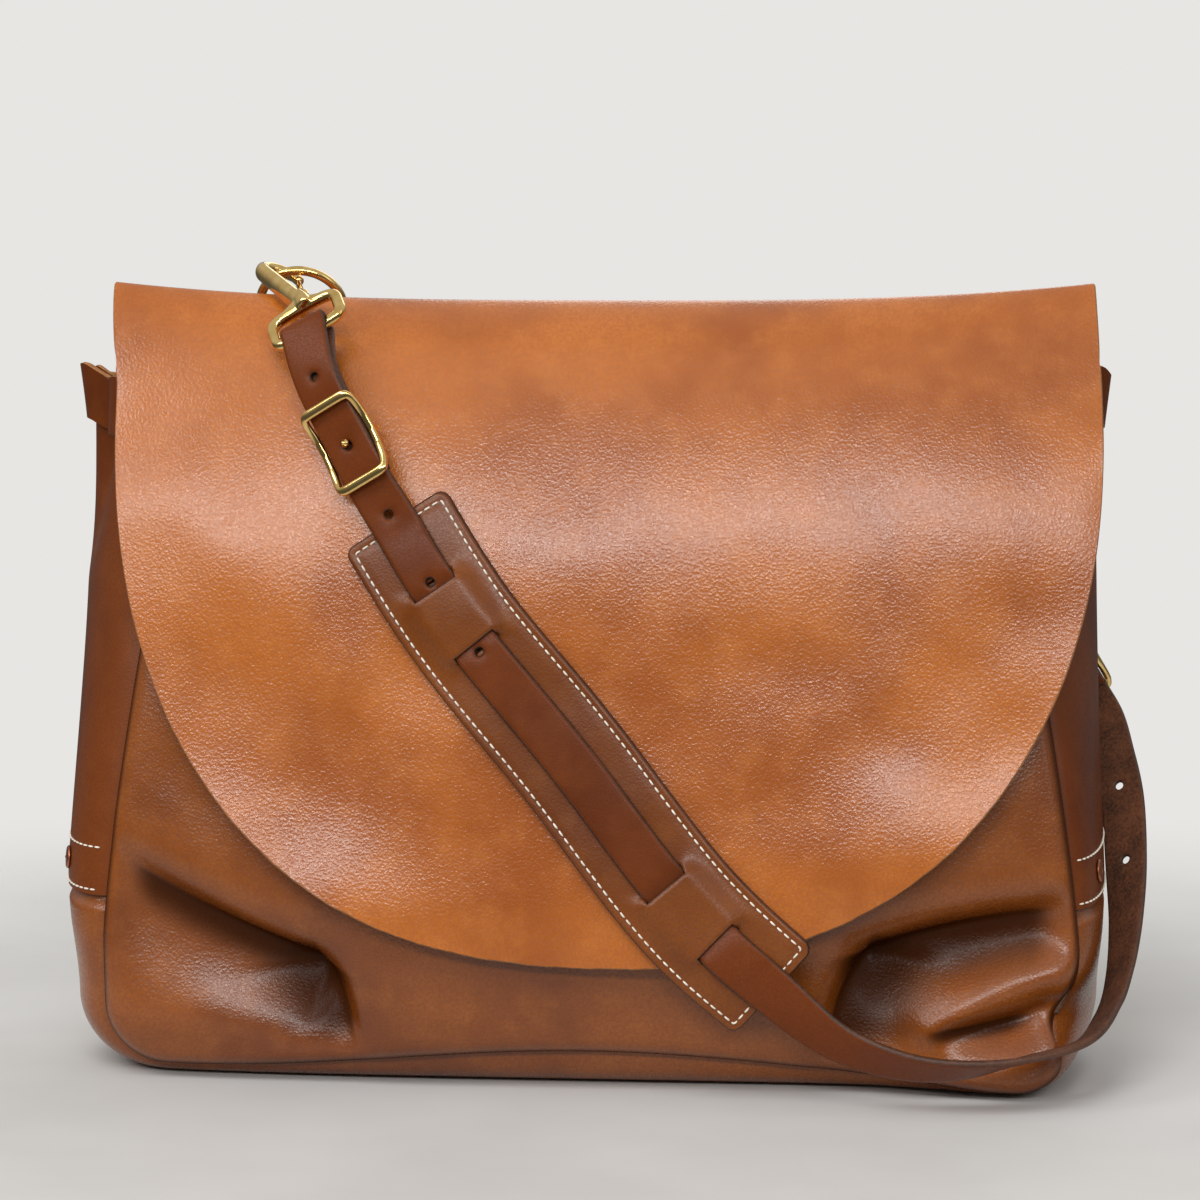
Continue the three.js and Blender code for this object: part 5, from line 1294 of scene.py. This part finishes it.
def strap_knots():
    """All places along the strap with their edges, and where the upper and free parts start."""
    stops = filled([PAD_CORNER, *slot_edges, PAD_LENGTH - PAD_CORNER], 9)
    level = OVER + (UNDER - OVER) * under_top(stops, 5)
    pad = pad_point(stops, 0 * stops, level)
    pad_edge = unit(pad_point(stops, 0 * stops + 2, level) - pad_point(stops, 0 * stops - 2, level))
    nexts = [(row[0], row[1]) for row in UPPER_ROUTE[1:]] + [(pad[0, 0], pad[0, 2])]
    upper, upper_edge = (np.array(v) for v in zip(*[on_flap(r, n) for r, n in zip(UPPER_ROUTE, nexts)]))
    free, free_edge = FREE_ROUTE[:, :3], unit(FREE_ROUTE[:, 3:])
    upper_heading = unit(np.diff(np.concatenate([upper, pad[:1]]), axis=0))
    tail = slice(BACK_BUCKLE_ROW - 1, None)
    tail_heading = unit(np.diff(free, axis=0))[BACK_BUCKLE_ROW - 2:]
    left, right = SNAPS["left"], SNAPS["right"]
    first, first_edge = layer_behind(upper, upper_edge, upper_heading)
    last, last_edge = layer_behind(free[tail], free_edge[tail], tail_heading)
    turn_left = bar_turn(left, -unit(np.cross(left["across"], left["hang"])))
    turn_right = bar_turn(right, unit(np.cross(right["across"], right["hang"])))
    points = [first[::-1], turn_left[0], upper, pad, free, turn_right[0][::-1], last[::-1]]
    edges = [first_edge[::-1], turn_left[1], upper_edge, pad_edge, free_edge, turn_right[1][::-1],
             last_edge[::-1]]
    upper_start = len(first) + 5
    return np.concatenate(points), np.concatenate(edges), upper_start, upper_start + len(upper) + len(pad)


KNOTS, KNOT_EDGES, UPPER_START, FREE_START = strap_knots()
CELLS = 16
CELL = STRAP_WIDE / CELLS


def strap_line():
    """Middle line of the strap in equal steps: points, headings, edges and knot numbers."""
    last = len(KNOTS) - 1
    t = np.linspace(0, 1, 30 * last + 1)
    rough = through(KNOTS, t)
    run = run_along(rough)
    count = int(run[-1] / CELL)
    at = np.interp(np.linspace(0, run[-1], count + 1), run, t)
    points, edges = through(KNOTS, at), through(KNOT_EDGES, at)
    kernel = bump(np.arange(-3, 4), 1.6)
    kernel = kernel / kernel.sum()
    padded = np.pad(points, ((3, 3), (0, 0)), "edge")
    smooth = sum(k * padded[i:i + len(points)] for i, k in enumerate(kernel))
    points[3:-3] = smooth[3:-3]
    heading = unit(np.gradient(points, axis=0))
    edges = unit(edges - heading * np.sum(edges * heading, axis=1, keepdims=True))
    return points, heading, edges, at * last


LINE, HEADING, ACROSS, KNOT_AT = strap_line()
FACING = np.cross(HEADING, ACROSS)
STRAP_HOLES = [
    # x, y, z of a place on the outer layer
    (-114, -54, 298), (-100, -61.5, 270.6), (-82.3, -64.5, 242.4), (-64.5, -68, 213.5), (-43.5, -70, 185),
    (222.4, 36, 116), (225.8, 13.5, 88), (203, 67.2, 166), (213, 66, 149.5),
]


def strap():
    """The strap as a closed wall, with its holes bent round and a soft dip about each."""
    rows, half = np.arange(len(LINE)), CELLS // 2
    straight = np.tile((np.arange(CELLS + 1) - half) * CELL, (len(LINE), 1))
    along, across, dip = np.zeros_like(straight), straight, np.zeros_like(straight)
    keep = np.ones((len(LINE) - 1, CELLS), bool)
    for hole in STRAP_HOLES:
        row = int(np.argmin(np.linalg.norm(LINE - np.array(hole), axis=1)))
        ahead = np.repeat(((rows - row) * CELL)[:, None], CELLS + 1, 1)
        square = np.maximum(np.maximum(np.abs(ahead), np.abs(across)), 1e-6)
        circle = np.maximum(np.hypot(ahead, straight), 1e-6)
        pull = (square / circle - 1) * (1 - smoothstep(square, 2 * CELL, 6 * CELL))
        along = along + ahead * pull
        across = across + straight * pull
        dip = dip + 0.35 * bump(np.maximum(square - 2 * CELL, 0), 1.3)
        keep[max(row - 2, 0):row + 2, half - 2:half + 2] = False
    crown = STRAP_CROWN * (1 - (across / (STRAP_WIDE / 2)) ** 4) - dip
    middle = LINE[:, None] + HEADING[:, None] * along[..., None] + ACROSS[:, None] * across[..., None]
    outer = middle + FACING[:, None] * (STRAP_THICK / 2 - STRAP_CROWN + crown)[..., None]
    inner = middle - FACING[:, None] * (STRAP_THICK / 2 - dip)[..., None]
    points, faces, slots = wall(outer, inner, keep, 0.28)
    finishes = (STRAP_SKIN, DARK_EDGE, STRAP_FLESH)
    put("shoulder_strap", points, faces, slots, finishes, ["strap"])


strap()
print("strap length", round(CELL * (len(LINE) - 1)))

# %% [markdown]
# ## Buckles
# Each buckle is a frame bent round the doubled strap: two flat end bars over it, side rails that
# sink between them, a middle bar that drops behind the strap, and a ball stud through a hole.

# %% Buckles
BUCKLE_LONG, BUCKLE_WIDE, BUCKLE_WIRE, BUCKLE_END = 17.6, 12, 1.5, 2.1
BUCKLE_DIP, BUCKLE_DROP = 5.5, 2


def buckle(name, knot, node):
    """A closed rounded rectangle whose rails sink as a parabola; its end bars are wider."""
    row = int(np.argmin(np.abs(KNOT_AT - knot)))
    heading, across = HEADING[row], ACROSS[row]
    outward = np.cross(heading, across)
    middle = LINE[row] - outward * (STRAP_THICK + GAP) / 2
    clear = STRAP_THICK + 1.2 + BUCKLE_WIRE

    def place(along, aside, out):
        stack = (heading * np.asarray(along)[..., None] + across * np.asarray(aside)[..., None]
                 + outward * np.asarray(out)[..., None])
        return middle + stack

    turn = np.linspace(0, 2 * np.pi, 721)
    along, aside = BUCKLE_LONG * power(np.cos(turn), 0.22), BUCKLE_WIDE * power(np.sin(turn), 0.22)
    level = clear - BUCKLE_DIP * (1 - (along / BUCKLE_LONG) ** 2)
    fine = place(along, aside, level)
    run = run_along(fine)
    even = np.linspace(0, run[-1], 160, endpoint=False)
    rim_path = np.stack([np.interp(even, run, fine[:, k]) for k in range(3)], 1)
    ends = smoothstep(np.abs(np.interp(even, run, along)), 0.9 * BUCKLE_LONG, BUCKLE_LONG)
    rim = bar(rim_path, outward, BUCKLE_WIRE + (BUCKLE_END - BUCKLE_WIRE) * ends, BUCKLE_WIRE, 20, True, 0.7)
    sink, drop = clear - BUCKLE_DIP, BUCKLE_DROP - clear
    half = np.array([[-BUCKLE_WIDE, sink], [-BUCKLE_WIDE, drop], [BUCKLE_DROP - BUCKLE_WIDE, -clear]])
    bends = np.concatenate([half, half[::-1] * [-1, 1]])
    rail_path = through(place(0 * bends[:, 0], bends[:, 0], bends[:, 1]), np.linspace(0, 1, 40))
    rail = bar(rail_path, heading, BUCKLE_WIRE, BUCKLE_WIRE, 14)
    level = np.array([-clear, clear - 2.2, clear - 0.9, clear - 0.6, clear + 0.4, clear + 1.2, clear + 1.8])
    radius = np.array([1.3, 1.3, 1.1, 1.5, 2.0, 1.7, 0.9])
    stud = bar(place(0 * level, 0 * level, level - 1.4), heading, radius, radius, 18)
    put_metal(name, together(rim, rail, stud), BRASS, node)


buckle("front_buckle", UPPER_START + 1, "buckle_front")
buckle("back_buckle", FREE_START + BACK_BUCKLE_ROW, "buckle_back")

# %% [markdown]
# ## Loops for the rings
# A leather loop is folded round each ring's bar and sewn to the back.

# %% Loops for the rings
CHAPE_WIDE, CHAPE_THICK, CHAPE_LONG = 28, 1.8, 44


def chape(side):
    """A strip up the back, round the ring's bar and down again: its middle line and outward normals."""
    at = ring_bar(side)
    wrap = RING_WIRE + GAP + CHAPE_THICK / 2
    z = np.linspace(at[2] - CHAPE_LONG, at[2] - 9, 4)
    rise = np.clip((z - FOLD_Z) / fold_rise(at[0]), 0, 1)
    y = np.where(z <= FOLD_Z, back_line(z), back_line(FOLD_Z) * np.sqrt(1 - rise**2))
    inner_run = np.stack([np.full_like(z, at[0]), y + 2 * GAP + CHAPE_THICK / 2, z], 1)
    angle = np.linspace(np.pi, 0, 5)
    round_run = np.stack([np.full_like(angle, at[0]), at[1] + wrap * np.cos(angle),
                          at[2] + wrap * np.sin(angle)], 1)
    outer_run = (inner_run + np.array([0, CHAPE_THICK + GAP, 0]))[::-1]
    line = through(np.concatenate([inner_run, round_run, outer_run]), np.linspace(0, 1, 90))
    heading = unit(np.gradient(line, axis=0))
    out = np.cross(heading, ALONG_X)
    columns = np.linspace(-0.5, 0.5, 15) * CHAPE_WIDE
    middle = line[:, None] + ALONG_X * columns[:, None]
    skin = middle + out[:, None] * CHAPE_THICK / 2
    flesh = middle - out[:, None] * CHAPE_THICK / 2
    if out[-1, 1] < 0:
        skin, flesh = flesh, skin
    points, faces, slots = wall(skin, flesh, None, 0.25)
    finishes = (CHESTNUT, DARK_EDGE, FLESH)
    put(f"ring_loop_{side}", points, faces, slots, finishes, [f"chape_{side}"])
    return line, out * np.sign(out[-1, 1])


CHAPE_LINES = {side: chape(side) for side in SIDES}

# %% [markdown]
# ## Stitches
# White thread runs round the pad, along both edges of each lap on the sides and round the loops
# on the back. A stitch is a short bar that arches over the leather and dives in at both ends;
# all the stitches of a row are worked out together.

# %% Stitches
PAD_STITCH, SIDE_STITCH = (3.8, 2.8, 0.42), (3.6, 2.7, 0.4)
PAD_INSET, LOOP_INSET = 2.9, 3
LAP_ROWS = (LAP_LOW_Z + 2.0, LAP_HIGH_Z - 3.0)


def stitch_row(path, normals, pitch, length, radius):
    """Points and faces of a row of stitches along a path that lies on leather.

    Each stitch is a stack of rings: their centres follow the path under an arch, and their
    radius shrinks towards both ends.
    """
    run = run_along(path)
    count = int(run[-1] / pitch)
    first = (run[-1] - (count - 1) * pitch) / 2
    share = np.array([-0.5, -0.42, -0.22, 0, 0.22, 0.42, 0.5])
    at = first + pitch * np.arange(count)[:, None] + length * share

    def pick(values):
        return np.stack([np.interp(at, run, values[:, k]) for k in range(3)], -1)

    normal = unit(pick(normals))
    arch = radius * (1.1 * np.cos(np.pi * share) - 0.45)
    centre = pick(path) + normal * arch[:, None]
    tangent = unit(np.gradient(centre, axis=1))
    side = unit(np.cross(tangent, normal))
    top = np.cross(side, tangent)
    size = radius * np.array([0.2, 0.75, 1, 1, 1, 0.75, 0.2])
    angle = np.linspace(0, 2 * np.pi, 8, endpoint=False)
    ring_of = (side[:, :, None] * np.cos(angle)[:, None] + top[:, :, None] * np.sin(angle)[:, None])
    points = centre[:, :, None] + ring_of * size[:, None, None]
    index = np.arange(points.size // 3).reshape(count, len(share), 8)
    after = np.roll(index, -1, axis=2)
    faces = np.stack([index[:, :-1], after[:, :-1], after[:, 1:], index[:, 1:]], -1)
    ends = [index[:, 0, k] for k in ((0, 1, 2, 3), (0, 3, 4, 7), (4, 5, 6, 7))]
    caps = [index[:, -1, k] for k in ((3, 2, 1, 0), (7, 4, 3, 0), (7, 6, 5, 4))]
    return points.reshape(-1, 3), np.concatenate([faces.reshape(-1, 4), *ends, *caps])


def pad_border(inset):
    """Closed path a little inside the pad's edge, in pad places: one half, then the same half turned."""
    low, high, half = inset, PAD_LENGTH - inset, PAD_HALF - inset
    corner = PAD_CORNER - inset
    arc = np.linspace(0, np.pi / 2, 8)
    near, far = (1 - np.cos(arc)) * corner, (np.sin(arc) - 1) * corner
    upper_half = np.concatenate([
        np.stack([low + near, half + far], 1),
        np.stack([np.linspace(low + corner, high - corner, 200), np.full(200, half)], 1),
        np.stack([high - near[::-1], half + far[::-1]], 1),
        np.stack([np.full(40, high), np.linspace(half - corner, -half + corner, 40)], 1),
    ])
    return np.concatenate([upper_half, [low + high, 0] - upper_half])


def loop_seam(side, inset):
    """Seam on a ring's loop: down one edge, across the end and up the other edge, with its normals."""
    line, out = CHAPE_LINES[side]
    down, aside = np.arange(63, 86), CHAPE_WIDE / 2 - inset
    rows = np.concatenate([down, np.full(12, down[-1]), down[::-1]])
    offset = np.concatenate([np.full(len(down), -aside), np.linspace(-aside, aside, 12),
                             np.full(len(down), aside)])
    path = line[rows] + out[rows] * (CHAPE_THICK / 2 - 0.1)
    return path + offset[:, None] * ALONG_X, out[rows]


along, across = pad_border(PAD_INSET).T
seam_path = pad_point(along, across, PAD_TOP + pad_rise(along, across) + PAD_THICK - 0.2)
toward_front = np.tile([0.0, -1.0, 0.0], (len(seam_path), 1))
rows_of_thread = [stitch_row(seam_path, toward_front, *PAD_STITCH)]
lap_angles = np.linspace(0.2, np.pi - 0.2, 80)
for side in SIDES:
    for z in LAP_ROWS:
        p = np.full(80, stretch(z) if side == "left" else 5 - stretch(z))
        path = gusset_inside(p, lap_angles, np.zeros(80))
        normals = unit(gusset_inside(p, lap_angles, np.full(80, -1.0)) - path)
        rows_of_thread.append(stitch_row(path, normals, *SIDE_STITCH))
for side in SIDES:
    rows_of_thread.append(stitch_row(*loop_seam(side, LOOP_INSET), *SIDE_STITCH))
points, faces = together(*rows_of_thread)
put("stitches", points, faces, np.zeros(len(faces)), (THREAD,))

# %% [markdown]
# ## Floor
# A plain pale floor, which isn't part of the bag. Away from the bag it turns see-through, so it
# runs into the backdrop without an edge, as a paper sweep in a studio does.

# %% Floor
FLOOR_FADE, FLOOR_Z = (0.3, 0.75), -0.0004
floor_finish, s, principled = finish("pale_floor")
place = s.node("TexCoord", None, None, 3)
cloudy = s.node("TexNoise", None, {"Vector": place, "Scale": 6, "Detail": 4})
connect(s, principled, Base_Color=cloudy.step(0.3, 0.7).mix(colour(192, 191, 189), colour(202, 201, 199)))
principled.inputs["Roughness"].default_value = 0.75
far_off = s.node("VectorMath", {"operation": "LENGTH"}, {0: place}, 1).step(*FLOOR_FADE)
matt, clear = Shade(s.tree, principled.outputs[0]), s.node("BsdfTransparent")
swept = s.node("MixShader", None, {0: far_off, 1: matt, 2: clear})
s.tree.links.new(swept.socket, s.tree.nodes["Material Output"].inputs["Surface"])
floor_mesh = bpy.data.meshes.new("floor")
corners = [(x, y, FLOOR_Z) for x, y in ((-1, -1), (1, -1), (1, 1), (-1, 1))]
floor_mesh.from_pydata(corners, [], [(0, 1, 2, 3)])
floor_mesh.materials.append(floor_finish)
floor = bpy.data.objects.new("floor", floor_mesh)
bpy.context.scene.collection.objects.link(floor)
bpy.context.scene.view_settings.view_transform = "Standard"
print("floor laid")
